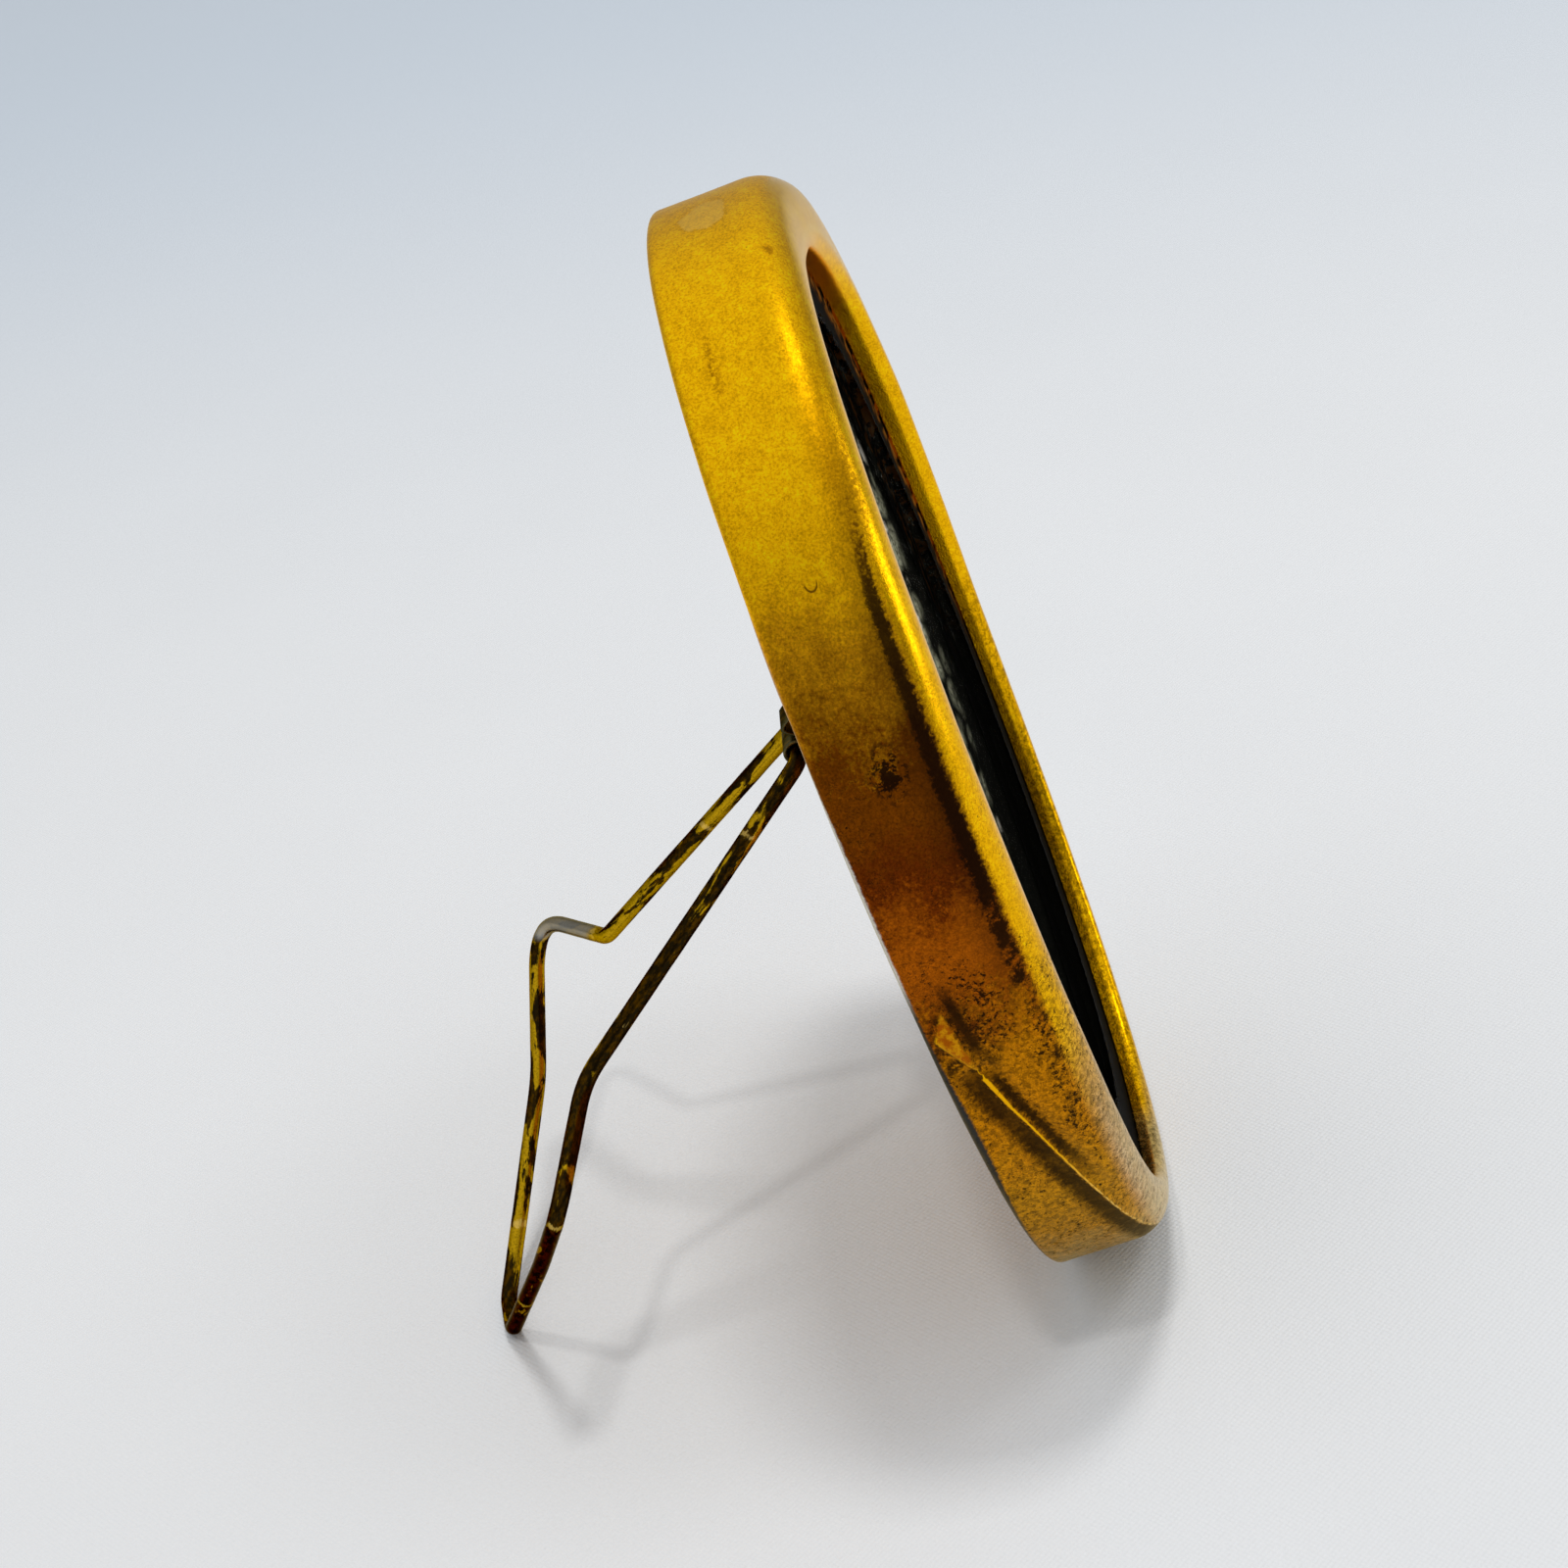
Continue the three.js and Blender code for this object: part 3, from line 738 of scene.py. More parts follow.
class Finish:
    """One procedural material: its nodes and short ways to add them."""

    def __init__(self, name):
        self.material = bpy.data.materials.new(name)
        self.material.use_nodes = True
        self.tree = self.material.node_tree
        self.shader = self.tree.nodes["Principled BSDF"]

    @classmethod
    def of(cls, tree):
        """The same ways for a tree that exists, such as the world's."""
        made = cls.__new__(cls)
        made.tree = tree
        return made

    def feed(self, socket, value):
        if isinstance(value, bpy.types.NodeSocket):
            self.tree.links.new(value, socket)
        else:
            socket.default_value = value

    def node(self, kind, inputs=None, **settings):
        """A new node with its settings, and its inputs by name or number."""
        made = self.tree.nodes.new("ShaderNode" + kind)
        for name, value in settings.items():
            setattr(made, name, value)
        for key, value in (inputs or {}).items():
            self.feed(made.inputs[key], value)
        return made

    def math(self, operation, first, second=0.0):
        return self.node("Math", {0: first, 1: second}, operation=operation).outputs[0]

    def together(self, operation, first, others):
        for other in others:
            first = self.math(operation, first, other)
        return first

    def add(self, first, *others):
        return self.together("ADD", first, others)

    def times(self, first, *others):
        return self.together("MULTIPLY", first, others)

    def either(self, first, *others):
        return self.together("MAXIMUM", first, others)

    def less(self, first, second):
        return self.math("SUBTRACT", first, second)

    def over(self, first, second):
        return self.math("DIVIDE", first, second)

    def absolute(self, value):
        return self.math("ABSOLUTE", value)

    def ease(self, value, low, high):
        """Rises softly from 0 at low to 1 at high, or falls where low is the larger."""
        rising = low < high
        inputs = {
            "Value": value, "From Min": min(low, high), "From Max": max(low, high),
            "To Min": 0.0 if rising else 1.0, "To Max": 1.0 if rising else 0.0,
        }
        return self.node("MapRange", inputs, interpolation_type="SMOOTHSTEP").outputs[0]

    def band(self, value, low, high, soft):
        """1 between low and high, with soft ends."""
        rising = self.ease(value, low - soft, low + soft)
        return self.times(rising, self.ease(value, high + soft, high - soft))

    def mix(self, factor, first, second, blend="MIX"):
        inputs = {0: factor, 6: first, 7: second}
        for key in (6, 7):
            if not isinstance(inputs[key], bpy.types.NodeSocket):
                inputs[key] = (*inputs[key], 1.0)
        return self.node("Mix", inputs, data_type="RGBA", blend_type=blend).outputs[2]

    def level(self, factor, first, second):
        """A number between two numbers."""
        return self.node("Mix", {0: factor, 2: first, 3: second}, data_type="FLOAT").outputs[0]

    def ramp(self, factor, stops):
        """Colour along a ramp of places and colours."""
        made = self.node("ValToRGB", {0: factor})
        elements = made.color_ramp.elements
        while len(elements) < len(stops):
            elements.new(0.5)
        for element, (place, tint) in zip(elements, stops):
            element.position = place
            element.color = (*tint, 1.0)
        return made.outputs[0]

    def noise(self, where, scale, detail=2.0, rough=0.5, twist=0.0):
        inputs = {"Vector": where, "Scale": scale, "Detail": detail, "Roughness": rough, "Distortion": twist}
        return self.node("TexNoise", inputs).outputs[0]

    def cells(self, where, scale):
        return self.node("TexVoronoi", {"Vector": where, "Scale": scale}).outputs["Distance"]

    def millimetres(self):
        """Object coordinates in millimetres."""
        where = self.node("TexCoord").outputs["Object"]
        return self.node("VectorMath", {0: where, "Scale": 1 / MM}, operation="SCALE").outputs[0]

    def stretched(self, where, x, y, z):
        return self.node("VectorMath", {0: where, 1: (x, y, z)}, operation="MULTIPLY").outputs[0]

    def place(self, name):
        """The stored place of a piece, as a vector and its three parts."""
        vector = self.node("Attribute", attribute_name=name).outputs["Vector"]
        return vector, *self.parts(vector)

    def parts(self, vector):
        return self.node("SeparateXYZ", {0: vector}).outputs

    def spot(self, first, second, centre, reach):
        """Distance from a place over the face, where 1 is the edge of an oval spot."""
        x = self.over(self.less(first, centre[0]), reach[0])
        y = self.over(self.less(second, centre[1]), reach[1])
        return self.math("SQRT", self.add(self.times(x, x), self.times(y, y)))

    def bump(self, height, strength, depth):
        made = self.node("Bump", {"Strength": strength, "Distance": depth, "Height": height})
        self.feed(self.shader.inputs["Normal"], made.outputs[0])

    def set(self, **sockets):
        """Feeds the shader's own sockets, named with underscores for spaces."""
        for name, value in sockets.items():
            socket = self.shader.inputs[name.replace("_", " ")]
            if isinstance(value, tuple) and len(value) == 3:
                value = (*value, 1.0)
            self.feed(socket, value)


def rim_brass(tints):
    """Aged brass of the rim, tarnish and painted reflection together: bright above, copper-brown and speckled
    below, with a rubbed front rounding.
    """
    f = Finish("rim_brass")
    mm = f.millimetres()
    _, arc, run, rise = f.place("rim_place")
    crease, inside, off, along = f.place("crease_place")
    broad = f.noise(mm, 0.09, 3.0, 0.55)
    cloudy = f.noise(mm, 0.35, 4.0, 0.6)
    grain = f.noise(mm, 4.2, 3.0, 0.75)
    mottle = f.noise(mm, 1.1, 4.0, 0.7)
    flecks = f.noise(mm, 2.0, 6.0, 0.75)
    cloud_swing = f.less(cloudy, 0.5)
    fleck_swing = f.less(flecks, 0.5)

    def ragged(value, sway):
        """A place with an uneven border."""
        return f.add(value, f.times(fleck_swing, sway))

    def patch(centre, reach, edge, core):
        """1 in the middle of an oval patch of the face, 0 beyond its edge."""
        return f.ease(f.spot(arc, run, centre, reach), edge, core)

    # Wall and front rounding, each coloured by height with an uneven border, partly tarnish and partly
    # painted reflection: bright at the top, where the brass mirrors a bright surrounding, dark copper across
    # the middle, where it mirrors a dim one, and paler at the foot, where it mirrors the cloth
    wander = f.add(f.times(f.less(broad, 0.5), 14.0), f.times(fleck_swing, 18.0), f.times(cloud_swing, 9.0))
    height = f.over(f.add(rise, wander, 60.0), 120.0)
    wall = f.ramp(height, [
        (0.07, tints.pale), (0.16, tints.olive), (0.24, tints.olive), (0.33, tints.brown),
        (0.40, tints.brown), (0.48, tints.rust), (0.53, tints.rust), (0.58, tints.copper),
        (0.65, tints.umber), (0.68, tints.umber), (0.755, tints.olive), (0.83, tints.bright),
    ])
    rubbed = f.ramp(height, [
        (0.04, tints.pale), (0.16, tints.brown), (0.30, tints.olive), (0.40, tints.bright),
    ])
    rubbed = f.mix(f.ease(arc, -77.0, -84.0), rubbed, tints.bright)
    front = f.ease(ragged(run, 1.6), 13.8, 15.0)
    tint = f.mix(front, wall, rubbed)
    # Whitish painted reflection of the pale cloth on the front rounding towards the foot and on a patch past
    # it.
    whitish_reflection = f.times(f.ease(arc, -8.0, -38.0), 0.65, f.ease(run, 13.6, 16.4), f.ease(run, 20.2, 19.0))
    whitish_reflection = f.either(whitish_reflection, f.times(patch((-68.0, 15.5), (15.0, 4.8), 1.2, 0.2), 0.85))
    whitish_reflection = f.times(whitish_reflection, f.ease(arc, -94.0, -74.0), f.level(f.ease(mottle, 0.36, 0.60), 0.75, 1.0))
    tint = f.mix(whitish_reflection, tint, tints.whitish_reflection)
    pits = f.times(f.ease(rise, 4.0, -8.0), f.ease(f.noise(mm, 1.5, 6.0, 0.75, 0.4), 0.55, 0.42))
    shade = f.times(
        f.level(f.ease(grain, 0.30, 0.70), 0.68, 1.30), f.level(f.ease(cloudy, 0.3, 0.7), 0.92, 1.08),
        f.level(f.ease(mottle, 0.32, 0.68), 0.86, 1.10), f.level(pits, 1.0, 0.50),
    )
    grey = f.node("CombineColor", dict.fromkeys(range(3), shade)).outputs[0]
    tint = f.mix(1.0, tint, grey, "MULTIPLY")

    # Dark band along the foot of the rounding, partly patina and partly a painted dark reflection of the dim
    # surrounding: soft towards the wall, broken up at its lower end
    centre = f.add(f.times(f.ease(arc, 34.0, 50.0), 1.1), 13.45)
    aside = f.over(f.less(run, centre), f.level(f.ease(arc, 20.0, 44.0), 1.0, 0.75))
    torn_aside = ragged(aside, 2.4)
    core = f.times(f.band(torn_aside, -1.0, 0.75, 0.4), f.ease(ragged(arc, 26.0), 51.0, 37.0))
    soft = f.times(f.ease(aside, -4.4, -0.4), f.ease(torn_aside, 1.3, 0.5))
    soft = f.either(soft, f.ease(ragged(f.spot(arc, run, (47.0, 14.4), (7.0, 1.7)), 3.0), 1.2, 0.5))
    torn = f.add(f.noise(mm, 0.55, 5.0, 0.7), f.times(arc, 0.012))
    band_patina_and_dark_reflection = f.times(f.either(core, f.times(soft, 0.52)), f.ease(torn, 0.38, 0.50))
    band_patina_and_dark_reflection = f.times(band_patina_and_dark_reflection, f.ease(ragged(arc, 24.0), 62.0, 46.0))

    # Patina: specks that crowd round the crease and the band's end, hair-fine veins, spots and nicks
    crowd = f.either(
        patch((-6.0, 8.0), (13.0, 7.0), 1.2, 0.2), patch((-16.0, 13.0), (22.0, 2.6), 1.2, 0.3),
        f.times(f.ease(rise, 12.0, -4.0), 0.72), f.times(f.ease(rise, 36.0, 20.0), 0.25),
        patch((-2.0, 9.0), (6.0, 3.5), 1.2, 0.3),
    )
    ragged_flecks = f.noise(mm, 2.1, 7.0, 0.78, 0.35)
    specks = f.ease(f.add(ragged_flecks, f.times(cloud_swing, 0.22), f.times(crowd, 0.15)), 0.665, 0.71)
    hair = f.absolute(f.less(f.noise(mm, 0.8, 4.0, 0.65, 1.2), 0.5))
    hair = f.times(f.ease(hair, 0.022, 0.006), f.ease(rise, 30.0, 16.0), f.ease(cloudy, 0.42, 0.60))
    star = f.spot(arc, run, (20.9, 9.4), (1.3, 1.2))
    star = f.ease(f.add(star, f.times(f.less(f.noise(mm, 1.5, 5.0, 0.75), 0.5), 4.2)), 0.85, 0.72)
    blots = patch((21.3, 9.4), (3.8, 2.5), 1.1, 0.4)
    blots = f.times(blots, f.ease(f.noise(mm, 1.9, 3.0, 0.7, 0.3), 0.53, 0.57))
    nicks = f.either(
        patch((71.0, 14.0), (1.1, 0.7), 1.1, 0.3), patch((60.0, 6.6), (5.0, 0.8), 1.2, 0.1),
        patch((86.0, 6.0), (3.4, 2.4), 1.1, 0.2),
    )
    nicks = f.times(nicks, f.ease(f.add(flecks, f.times(cloudy, 0.4)), 0.62, 0.76))
    curl = f.absolute(f.less(f.spot(arc, run, (39.2, 8.8), (0.8, 0.55)), 1.0))
    curl = f.times(f.ease(curl, 0.18, 0.06), f.ease(arc, 39.4, 38.9))
    dark = f.either(specks, f.times(hair, 0.6), star, blots, f.times(nicks, 0.6), f.times(curl, 0.8))

    # Crease: painted shade in its valleys and beside the pucker, darker mottling round the pucker, a painted
    # highlight on the pucker and the crest rubbed bright
    rough_off = ragged(off, 2.2)
    above = f.times(f.band(rough_off, 0.20, 1.4, 0.4), f.ease(along, -1.5, 1.0), f.ease(along, 24.0, 12.0))
    below = f.times(f.ease(rough_off, -0.05, -0.30), f.ease(rough_off, -3.2, -1.6))
    below = f.times(below, f.level(f.ease(f.add(cloudy, f.times(flecks, 0.5)), 0.58, 0.84), 0.85, 1.0))
    below = f.times(below, f.ease(along, -4.0, 0.5), f.ease(along, 54.0, 44.0))
    beside = f.times(f.band(ragged(inside, 1.6), -1.5, -0.25, 0.4), f.ease(arc, -12.0, -8.0))
    beside = f.times(beside, f.ease(ragged(arc, 6.0), 0.5, -3.0), f.ease(run, 5.0, 6.0))
    halo = f.ease(ragged(f.spot(arc, run, (-8.0, 5.6), (9.0, 4.6)), 1.5), 1.1, 0.3)
    halo = f.times(halo, f.ease(f.add(mottle, f.times(flecks, 0.6)), 0.70, 0.90))
    pucker = f.ease(ragged(inside, 1.1), 0.0, 0.4)
    pucker = f.times(pucker, f.level(f.ease(arc, -5.5, -2.6), 1.0, 0.6))
    thin = f.level(f.ease(along, 0.0, 8.0), 0.26, 0.12)
    crest = f.ease(f.over(f.absolute(ragged(off, 0.2)), thin), 1.1, 0.6)
    dashes = f.add(f.noise(f.stretched(crease, 0.0, 1.0, 0.6), 1.0, 3.0, 0.6), f.times(along, -0.005))
    crest = f.times(crest, f.ease(along, -2.4, -1.4), f.ease(dashes, 0.28, 0.40), f.ease(along, 58.0, 46.0))
    # The dark marks take the patina and copper colours; in the crease's valleys they are painted shade, in
    # the band partly painted dark reflection.
    dark = f.either(dark, f.times(f.either(above, below, beside, halo), 0.97), band_patina_and_dark_reflection)
    dark = f.times(dark, f.ease(f.either(pucker, crest), 0.9, 0.2), f.level(whitish_reflection, 1.0, 0.35))
    dark = f.times(dark, f.level(f.ease(f.absolute(arc), 76.0, 84.0), 1.0, 0.15))
    tint = f.mix(f.times(dark, 0.95), tint, f.mix(f.ease(arc, 34.0, 52.0), tints.patina, tints.copper))
    # The pucker in mottled rust and olive, with a painted highlight in bright brass along its lower-left edge
    # and at its lower end.
    facet = f.mix(f.ease(mottle, 0.42, 0.60), tints.rust, tints.olive)
    left = f.ease(f.add(run, f.times(arc, 0.28)), 3.1, 2.8)
    pucker_highlight = f.times(f.ease(inside, 0.42, 0.22), left, f.ease(arc, -5.2, -6.4))
    facet = f.mix(f.either(pucker_highlight, f.ease(arc, -10.0, -12.4)), facet, tints.bright)
    tint = f.mix(f.times(pucker, 0.9), tint, facet)
    tint = f.mix(f.times(crest, 0.85), tint, f.mix(f.ease(along, 12.0, 30.0), tints.bright, tints.shine))

    # Thin rubbed line along the crest of the lip
    line = f.times(f.band(run, 18.5, 18.9, 0.2), f.ease(rise, 0.0, 12.0), f.ease(flecks, 0.3, 0.5))
    tint = f.mix(f.times(line, 0.5), tint, tints.shine)

    # Pale stain near the top
    stain = f.add(f.spot(arc, run, (80.5, 8.6), (3.4, 2.1)), f.times(cloud_swing, 1.1))
    tint = f.mix(f.times(f.ease(stain, 1.02, 0.92), 0.35), tint, tints.shine)
    ring = f.times(f.ease(f.absolute(f.less(stain, 1.04)), 0.24, 0.0), f.ease(flecks, 0.40, 0.60))
    tint = f.mix(f.times(ring, 0.22), tint, tints.copper)

    # Painted reflection along the rounded rear edge: whitish above the middle, where it mirrors the pale
    # surrounding, and dark grey below it, where it mirrors the shadowed cloth
    reach = f.level(f.ease(arc, 30.0, 12.0), 2.45, 3.15)
    reach = f.add(reach, f.times(f.band(arc, -30.0, -12.0, 9.0), 0.6))
    edge = f.times(f.ease(f.less(ragged(run, 0.7), reach), 0.18, -0.18), f.ease(run, 1.9, 2.5))
    edge = f.times(edge, f.ease(arc, 31.0, 27.0), f.ease(arc, -66.0, -56.0))
    tint = f.mix(edge, tint, f.mix(f.ease(arc, -4.0, 2.0), tints.dark_edge_reflection, tints.whitish_metal_and_reflection))

    f.set(Base_Color=tint, Metallic=1.0, Specular_Tint=(1.0, 0.88, 0.62))
    f.set(Roughness=f.level(dark, f.level(front, f.level(grain, 0.26, 0.42), 0.18), 0.6))
    f.bump(f.add(f.times(grain, 0.7), f.times(flecks, 0.3), f.times(dark, -0.25)), 0.4, 0.07 * MM)
    return f.material


def wire_brass(tints):
    """Brass wire with elongated worn patches in dark patina, darker on the near leg, partly as a painted dark
    reflection.
    """
    f = Finish("wire_brass")
    mm = f.millimetres()
    x, _, z = f.parts(mm)
    place, run, _, _ = f.place("wire_place")
    patches = f.noise(f.stretched(place, 0.16, 0.7, 0.7), 1.0, 3.0, 0.55, 0.6)
    fine = f.noise(f.stretched(place, 0.9, 1.6, 1.6), 1.0, 4.0, 0.7)
    fine_swing = f.less(fine, 0.5)
    grain = f.noise(mm, 4.0, 2.0, 0.6)
    # The near leg, on the camera's side, is darker: partly tarnish and partly a painted dark reflection of
    # the surrounding beside the camera.
    near = f.ease(x, 1.0, -1.5)
    worn = f.ease(f.add(patches, f.times(fine_swing, 0.25), f.times(near, -0.15)), 0.46, 0.52)
    dull = f.mix(f.ease(fine, 0.42, 0.66), tints.wire_dark, tints.olive * 0.14)
    gold = f.mix(f.ease(grain, 0.25, 0.6), tints.wire * 0.55, tints.wire)
    tint = f.mix(worn, dull, gold)
    link = f.times(f.band(x, 14.5, 24.0, 0.8), f.ease(z, 29.5, 30.5))
    tint = f.mix(f.times(link, f.level(fine, 0.6, 1.0)), tint, tints.whitish_metal_and_reflection * 0.55)
    rings = f.absolute(f.less(f.math("FRACT", f.times(run, 0.043)), 0.5))
    scratch = f.ease(f.add(rings, f.times(fine_swing, 0.10)), 0.016, 0.006)
    scratch = f.times(scratch, f.ease(patches, 0.44, 0.5))
    tint = f.mix(f.times(scratch, 0.5), tint, tints.shine)
    f.set(Base_Color=tint, Metallic=1.0, Roughness=f.level(worn, 0.26, f.level(grain, 0.16, 0.30)))
    f.set(Specular_Tint=(0.40, 0.32, 0.16))
    f.bump(f.add(f.times(worn, 0.4), f.times(fine, 0.5)), 0.4, 0.05 * MM)
    return f.material


def back_brass(tints):
    """Sheet brass behind the picture: rolled, stained and lightly scratched."""
    f = Finish("back_brass")
    mm = f.millimetres()
    rolled = f.noise(f.stretched(mm, 0.12, 3.0, 3.0), 1.0, 3.0, 0.6)
    stains = f.noise(mm, 0.12, 5.0, 0.62, 0.4)
    flecks = f.noise(mm, 1.3, 6.0, 0.75)
    grain = f.noise(mm, 5.0, 2.0, 0.6)
    tint = f.mix(f.ease(stains, 0.36, 0.66), tints.olive, tints.bright)
    tint = f.mix(f.times(f.ease(flecks, 0.58, 0.68), 0.85), tint, tints.copper)
    spots = f.times(f.ease(f.noise(mm, 0.5, 5.0, 0.7), 0.62, 0.68), f.ease(flecks, 0.44, 0.56))
    tint = f.mix(f.times(spots, 0.9), tint, tints.patina)
    tint = f.mix(f.times(f.ease(rolled, 0.6, 0.72), 0.25), tint, tints.pale)
    f.set(Base_Color=tint, Metallic=f.level(spots, 1.0, 0.4))
    f.set(Roughness=f.level(f.either(spots, f.times(stains, 0.4)), 0.3, 0.6))
    f.bump(f.add(f.times(rolled, 0.6), f.times(grain, 0.4)), 0.3, 0.04 * MM)
    return f.material


def hinge_metal(tints):
    """Grey-olive worn metal of the hinge strap and rivets."""
    f = Finish("hinge_metal")
    mm = f.millimetres()
    brushed = f.noise(f.stretched(mm, 4.0, 0.6, 0.6), 1.0, 3.0, 0.6)
    stains = f.noise(mm, 0.45, 5.0, 0.65, 0.4)
    flecks = f.noise(mm, 2.0, 5.0, 0.75)
    tint = f.mix(f.ease(stains, 0.40, 0.64), tints.nickel * 0.6, tints.nickel)
    tint = f.mix(f.times(f.ease(brushed, 0.5, 0.7), 0.3), tint, tints.olive)
    tint = f.mix(f.times(f.ease(flecks, 0.60, 0.70), 0.8), tint, tints.patina)
    f.set(Base_Color=tint, Metallic=1.0, Roughness=f.level(stains, 0.28, 0.50))
    f.set(Specular_Tint=(0.30, 0.27, 0.15))
    f.bump(f.add(f.times(brushed, 0.6), f.times(flecks, 0.4)), 0.35, 0.04 * MM)
    return f.material


def card_finish(tints):
    """Brown packing card with fibres."""
    f = Finish("packing_card")
    mm = f.millimetres()
    fibres = f.noise(f.stretched(mm, 0.5, 3.5, 3.5), 1.0, 5.0, 0.7, 0.5)
    cloud = f.noise(mm, 0.25, 3.0, 0.5)
    tint = f.mix(fibres, tints.card * 0.62, tints.card)
    tint = f.mix(f.times(cloud, 0.35), tint, tints.card * 0.5)
    f.set(Base_Color=tint, Roughness=f.level(fibres, 0.95, 0.8))
    f.bump(fibres, 0.5, 0.08 * MM)
    return f.material


def picture_place(f, pose):
    """Frame coordinates in millimetres, and the same along and across the slanting leaves of the print."""
    back = pose.inverted()
    place = f.node("Mapping", {
        "Vector": f.node("TexCoord").outputs["Object"], "Location": back.translation / MM,
        "Rotation": back.to_euler(), "Scale": (1 / MM,) * 3,
    }, vector_type="POINT").outputs[0]
    slant = f.node("VectorRotate", {"Vector": place, "Angle": LEAF_SLANT}, rotation_type="Z_AXIS")
    return place, f.stretched(slant.outputs[0], LEAF_WIDTH, 1.0, 0.0)


def print_finish(tints, pose):
    """A dark picture: a spray of grey-green leaves and small pale blossoms that fades into its ground."""
    f = Finish("picture_print")
    place, spray = picture_place(f, pose)
    x, y, _ = f.parts(place)
    fine = f.noise(spray, 1.7, 4.0, 0.7)
    fine_swing = f.less(fine, 0.5)
    cloudy = f.noise(place, 0.12, 4.0, 0.6)
    leaf = f.ease(f.add(f.cells(spray, 0.30), f.times(fine_swing, 0.5)), 0.70, 0.36)
    leaf = f.times(leaf, f.level(f.ease(fine, 0.36, 0.62), 0.12, 1.0))
    tint = f.mix(leaf, tints.ground, tints.leaf)
    bud = f.add(f.cells(spray, 0.19), f.times(fine_swing, 0.40))
    tint = f.mix(f.ease(bud, 0.29, 0.16), tint, tints.blossom)
    spread = f.add(f.spot(x, y, (0.0, 14.0), (28.0, 38.0)), f.times(f.less(cloudy, 0.5), 0.9))
    tint = f.mix(f.ease(spread, 0.55, 1.0), tint, tints.ground)
    f.set(Base_Color=tint, Roughness=0.8, Specular_IOR_Level=0.0)
    f.bump(fine, 0.2, 0.05 * MM)
    return f.material


def pane_finish(tints, pose, rim):
    """Old glass, dusty in patches, with faded amber in a dark painted border."""
    f = Finish("dusty_pane")
    place, spray = picture_place(f, pose)
    x, y, _ = f.parts(place)
    cloudy = f.noise(spray, 0.25, 5.0, 0.65)
    fine = f.noise(spray, 1.3, 5.0, 0.75)
    half_width = (rim.width / 2 - rim.lip_width) / MM
    half_height = (rim.height / 2 - rim.lip_width) / MM
    radial = f.spot(x, y, (0.0, 0.0), (half_width, half_height))
    worn = f.add(radial, f.times(f.less(fine, 0.5), 0.10))
    border = f.ease(worn, 0.84, 0.87)
    faded = f.ease(f.noise(place, 0.45, 4.0, 0.65), 0.46, 0.58)
    faded = f.times(faded, f.ease(radial, 0.92, 0.97), f.ease(y, -14.0, 14.0))
    specks = f.ease(f.cells(spray, 0.9), 0.22, 0.12)
    specks = f.times(specks, f.ease(cloudy, 0.48, 0.58), f.ease(y, -4.0, 14.0))
    dust = f.level(f.ease(fine, 0.4, 0.65), 0.0, 0.07)
    dust = f.times(f.ease(cloudy, 0.44, 0.66), dust, f.ease(y, -14.0, 8.0))
    tint = f.mix(f.ease(worn, 0.76, 0.81), tints.dust, tints.ground)
    tint = f.mix(faded, tint, tints.amber)
    cover = f.either(f.times(border, 0.97), f.times(specks, 0.15), dust)
    f.set(Base_Color=tint, Alpha=f.either(cover, 0.006), Roughness=f.level(f.either(cover, fine), 0.2, 0.8))
    f.set(Specular_IOR_Level=0.02)
    return f.material


def floor_finish(close, distant):
    """Pale cloth with a fine weave, cooler in the distance."""
    f = Finish("pale_cloth")
    mm = f.millimetres()
    x, y, _ = f.parts(mm)
    weave = f.times(f.math("SINE", f.times(x, 9.0)), f.math("SINE", f.times(y, 9.0)))
    soft = f.noise(mm, 0.02, 3.0, 0.5)
    uneven = f.noise(mm, 1.3, 3.0, 0.6)
    near = f.mix(soft, close * 0.96, close)
    tint = f.mix(f.ease(x, 120.0, 520.0), near, distant)
    f.set(Base_Color=tint, Roughness=0.95, Specular_IOR_Level=0.1)
    f.bump(f.add(f.times(weave, 0.35), uneven), 0.45, 0.2 * MM)
    return f.material


# Operators


class OVALFRAME_OT_make_rim(bpy.types.Operator):
    """Make the pressed brass rim"""

    bl_idname = "oval_frame.make_rim"
    bl_label = "Make Rim"

    def execute(self, context):
        piece = build_rim(context.scene.oval_rim)
        piece.data.materials.append(rim_brass(context.scene.oval_colours))
        return {"FINISHED"}


class OVALFRAME_OT_finish_filling(bpy.types.Operator):
    """Finish the glass, the print and the packing cards"""

    bl_idname = "oval_frame.finish_filling"
    bl_label = "Finish Filling"

    def execute(self, context):
        rim = context.scene.oval_rim
        tints = context.scene.oval_colours
        pose = frame_pose(rim)
        finishes = {"glass_pane": pane_finish(tints, pose, rim), "picture_print": print_finish(tints, pose)}
        card = card_finish(tints)
        for name, node in frame["nodes"].items():
            if name in finishes or name.startswith("packing_card"):
                node.data.materials.clear()
                node.data.materials.append(finishes.get(name, card))
        return {"FINISHED"}


class OVALFRAME_OT_make_back(bpy.types.Operator):
    """Make the back plate"""

    bl_idname = "oval_frame.make_back"
    bl_label = "Make Back Plate"

    def execute(self, context):
        piece = build_back(context.scene.oval_rim, context.scene.oval_back)
        piece.data.materials.append(back_brass(context.scene.oval_colours))
        return {"FINISHED"}


class OVALFRAME_OT_make_hinge(bpy.types.Operator):
    """Make the hinge strap and its rivets"""

    bl_idname = "oval_frame.make_hinge"
    bl_label = "Make Hinge"

    def execute(self, context):
        rim = context.scene.oval_rim
        back = context.scene.oval_back
        finish = hinge_metal(context.scene.oval_colours)
        for piece in [build_strap(rim, back), *build_rivets(rim, back)]:
            piece.data.materials.append(finish)
        return {"FINISHED"}


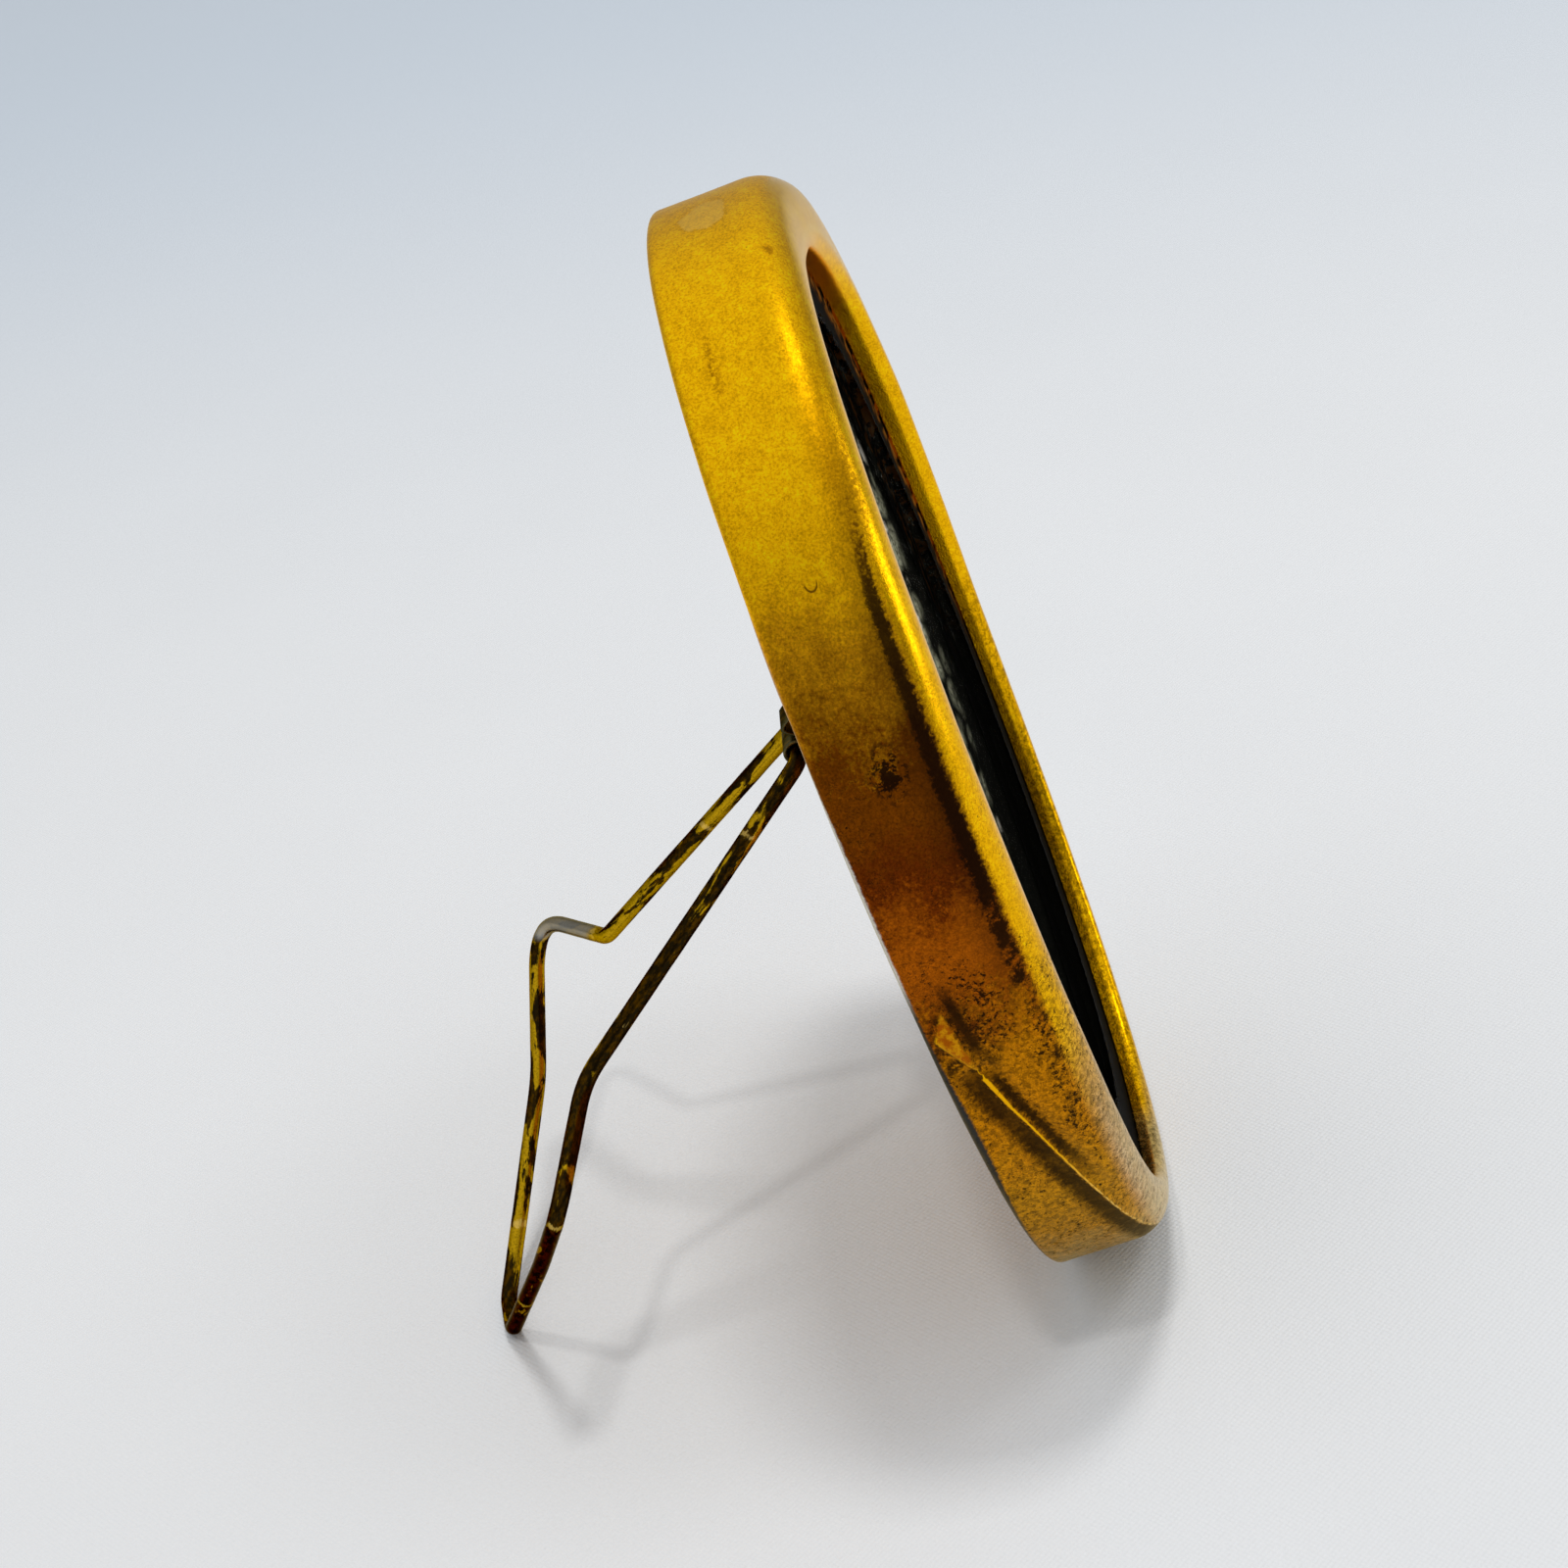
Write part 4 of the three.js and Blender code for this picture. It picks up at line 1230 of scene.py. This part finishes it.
class OVALFRAME_OT_make_easel(bpy.types.Operator):
    """Make the bent wire easel"""

    bl_idname = "oval_frame.make_easel"
    bl_label = "Make Easel"

    def execute(self, context):
        piece = build_easel(context.scene.oval_easel)
        piece.data.materials.append(wire_brass(context.scene.oval_colours))
        return {"FINISHED"}


class OVALFRAME_OT_set_stage(bpy.types.Operator):
    """Set the floor, the light and the camera"""

    bl_idname = "oval_frame.set_stage"
    bl_label = "Set Stage"

    def execute(self, context):
        studio = context.scene.oval_studio
        set_floor(studio)
        set_light(studio)
        set_camera(studio)
        context.scene.view_settings.view_transform = "Standard"
        return {"FINISHED"}


def set_floor(studio):
    """A wide pale cloth under the frame."""
    reach = 30.0
    cells = 12
    step = 2 * reach / cells
    row = cells + 1
    vertices = [(-reach + i * step, -reach + j * step, 0.0) for j in range(row) for i in range(row)]
    faces = [
        (j * row + i, j * row + i + 1, (j + 1) * row + i + 1, (j + 1) * row + i)
        for j in range(cells) for i in range(cells)
    ]
    mesh = bpy.data.meshes.new("floor_cloth")
    mesh.from_pydata(vertices, [], faces)
    floor = bpy.data.objects.new("floor_cloth", mesh)
    floor.data.materials.append(floor_finish(studio.floor, studio.distant))
    bpy.context.scene.collection.objects.link(floor)


def add_lamp(name, way, distance, size, watts, tint, mirrored):
    """A square soft lamp that faces the frame from a direction."""
    lamp = bpy.data.lights.new(name, "AREA")
    lamp.energy = watts
    lamp.size = size
    lamp.color = tint
    made = bpy.data.objects.new(name, lamp)
    aim = Vector((0, 0.01, 0.05))
    way = Vector(way).normalized()
    made.location = aim + way * distance
    made.visible_glossy = mirrored
    made.visible_camera = False
    made.rotation_euler = way.to_track_quat("Z", "Y").to_euler()
    bpy.context.scene.collection.objects.link(made)


def set_light(studio):
    """Soft lamps above, to the left and twice in front, in a pale surrounding that is dim on one side."""
    add_lamp("lamp_above", (0.0, -0.10, 0.995), 1.0, 0.14, 3.0, (1.0, 0.99, 0.97), False)
    add_lamp("lamp_left", (-0.363, 0.077, 0.929), 1.0, 0.05, 1.2, (1.0, 0.97, 0.93), False)
    add_lamp("lamp_front", (-0.06, -0.50, 0.86), 1.0, 0.20, 0.8, (1.0, 1.0, 1.0), True)
    add_lamp("lamp_low", (0.13, -0.98, 0.13), 1.0, 0.36, 0.82, (1.0, 1.0, 0.97), True)
    world = bpy.data.worlds.new("soft_surrounding")
    world.use_nodes = True
    bpy.context.scene.world = world
    f = Finish.of(world.node_tree)
    way = f.node("TexCoord").outputs["Generated"]
    toward = f.node("VectorMath", {0: way, 1: DIM_SIDE}, operation="DOT_PRODUCT")
    rise = f.parts(way)[2]
    dim = f.times(f.ease(toward.outputs["Value"], 0.25, 0.70), f.ease(rise, 0.6, 0.0))
    glow = f.times(f.level(f.ease(rise, -0.1, 1.0), 0.45, 1.0), f.level(dim, 1.0, 0.52))
    sky = f.tree.nodes["Background"]
    sky.inputs["Color"].default_value = (*studio.sky, 1.0)
    f.feed(sky.inputs["Strength"], f.times(glow, studio.sky_strength))


def set_camera(studio):
    """The camera at the photograph's angle."""
    around = studio.azimuth
    above = studio.elevation
    back = Vector((math.sin(around) * math.cos(above), -math.cos(around) * math.cos(above), math.sin(above)))
    level = Vector((math.cos(around), math.sin(around), 0))
    upright = back.cross(level)
    right = level * math.cos(studio.roll) + upright * math.sin(studio.roll)
    up = upright * math.cos(studio.roll) - level * math.sin(studio.roll)
    place = Vector(studio.target) + back * studio.distance + right * studio.aside + up * studio.above
    lens = bpy.data.cameras.new("camera")
    lens.lens = studio.lens
    lens.sensor_width = 36.0
    lens.clip_start = 0.01
    camera = bpy.data.objects.new("camera", lens)
    turn = Matrix((right, up, back)).transposed()
    camera.matrix_world = Matrix.Translation(place) @ turn.to_4x4()
    bpy.context.scene.collection.objects.link(camera)
    bpy.context.scene.camera = camera


class OVALFRAME_PT_panel(bpy.types.Panel):
    """Lists the frame's pieces, sizes and colours"""

    bl_idname = "OVALFRAME_PT_panel"
    bl_label = "Oval Picture Frame"
    bl_space_type = "VIEW_3D"
    bl_region_type = "UI"
    bl_category = "Picture Frame"

    def draw(self, context):
        for operator in OPERATORS:
            self.layout.operator(operator.bl_idname)
        for name in GROUPS:
            box = self.layout.box()
            group = getattr(context.scene, name)
            for prop in group.bl_rna.properties:
                if prop.identifier not in {"rna_type", "name"}:
                    box.prop(group, prop.identifier)


OPERATORS = (
    OVALFRAME_OT_make_rim,
    OVALFRAME_OT_finish_filling,
    OVALFRAME_OT_make_back,
    OVALFRAME_OT_make_hinge,
    OVALFRAME_OT_make_easel,
    OVALFRAME_OT_set_stage,
)
GROUPS = {
    "oval_rim": OvalRimSizes,
    "oval_back": BackSizes,
    "oval_easel": EaselSizes,
    "oval_colours": FinishColours,
    "oval_studio": StudioSettings,
}


def register():
    """Adds the classes and the scene's settings."""
    for cls in (*GROUPS.values(), *OPERATORS, OVALFRAME_PT_panel):
        bpy.utils.register_class(cls)
    for name, group in GROUPS.items():
        setattr(bpy.types.Scene, name, PointerProperty(type=group))


def unregister():
    """Removes what register added."""
    for name in GROUPS:
        delattr(bpy.types.Scene, name)
    for cls in (OVALFRAME_PT_panel, *reversed(OPERATORS), *GROUPS.values()):
        bpy.utils.unregister_class(cls)


def main():
    """Makes every piece and the stage."""
    register()
    bpy.ops.oval_frame.set_stage()
    bpy.ops.oval_frame.make_rim()
    bpy.ops.oval_frame.finish_filling()
    bpy.ops.oval_frame.make_back()
    bpy.ops.oval_frame.make_hinge()
    bpy.ops.oval_frame.make_easel()
    bpy.context.view_layer.update()


if __name__ == "__main__":
    main()
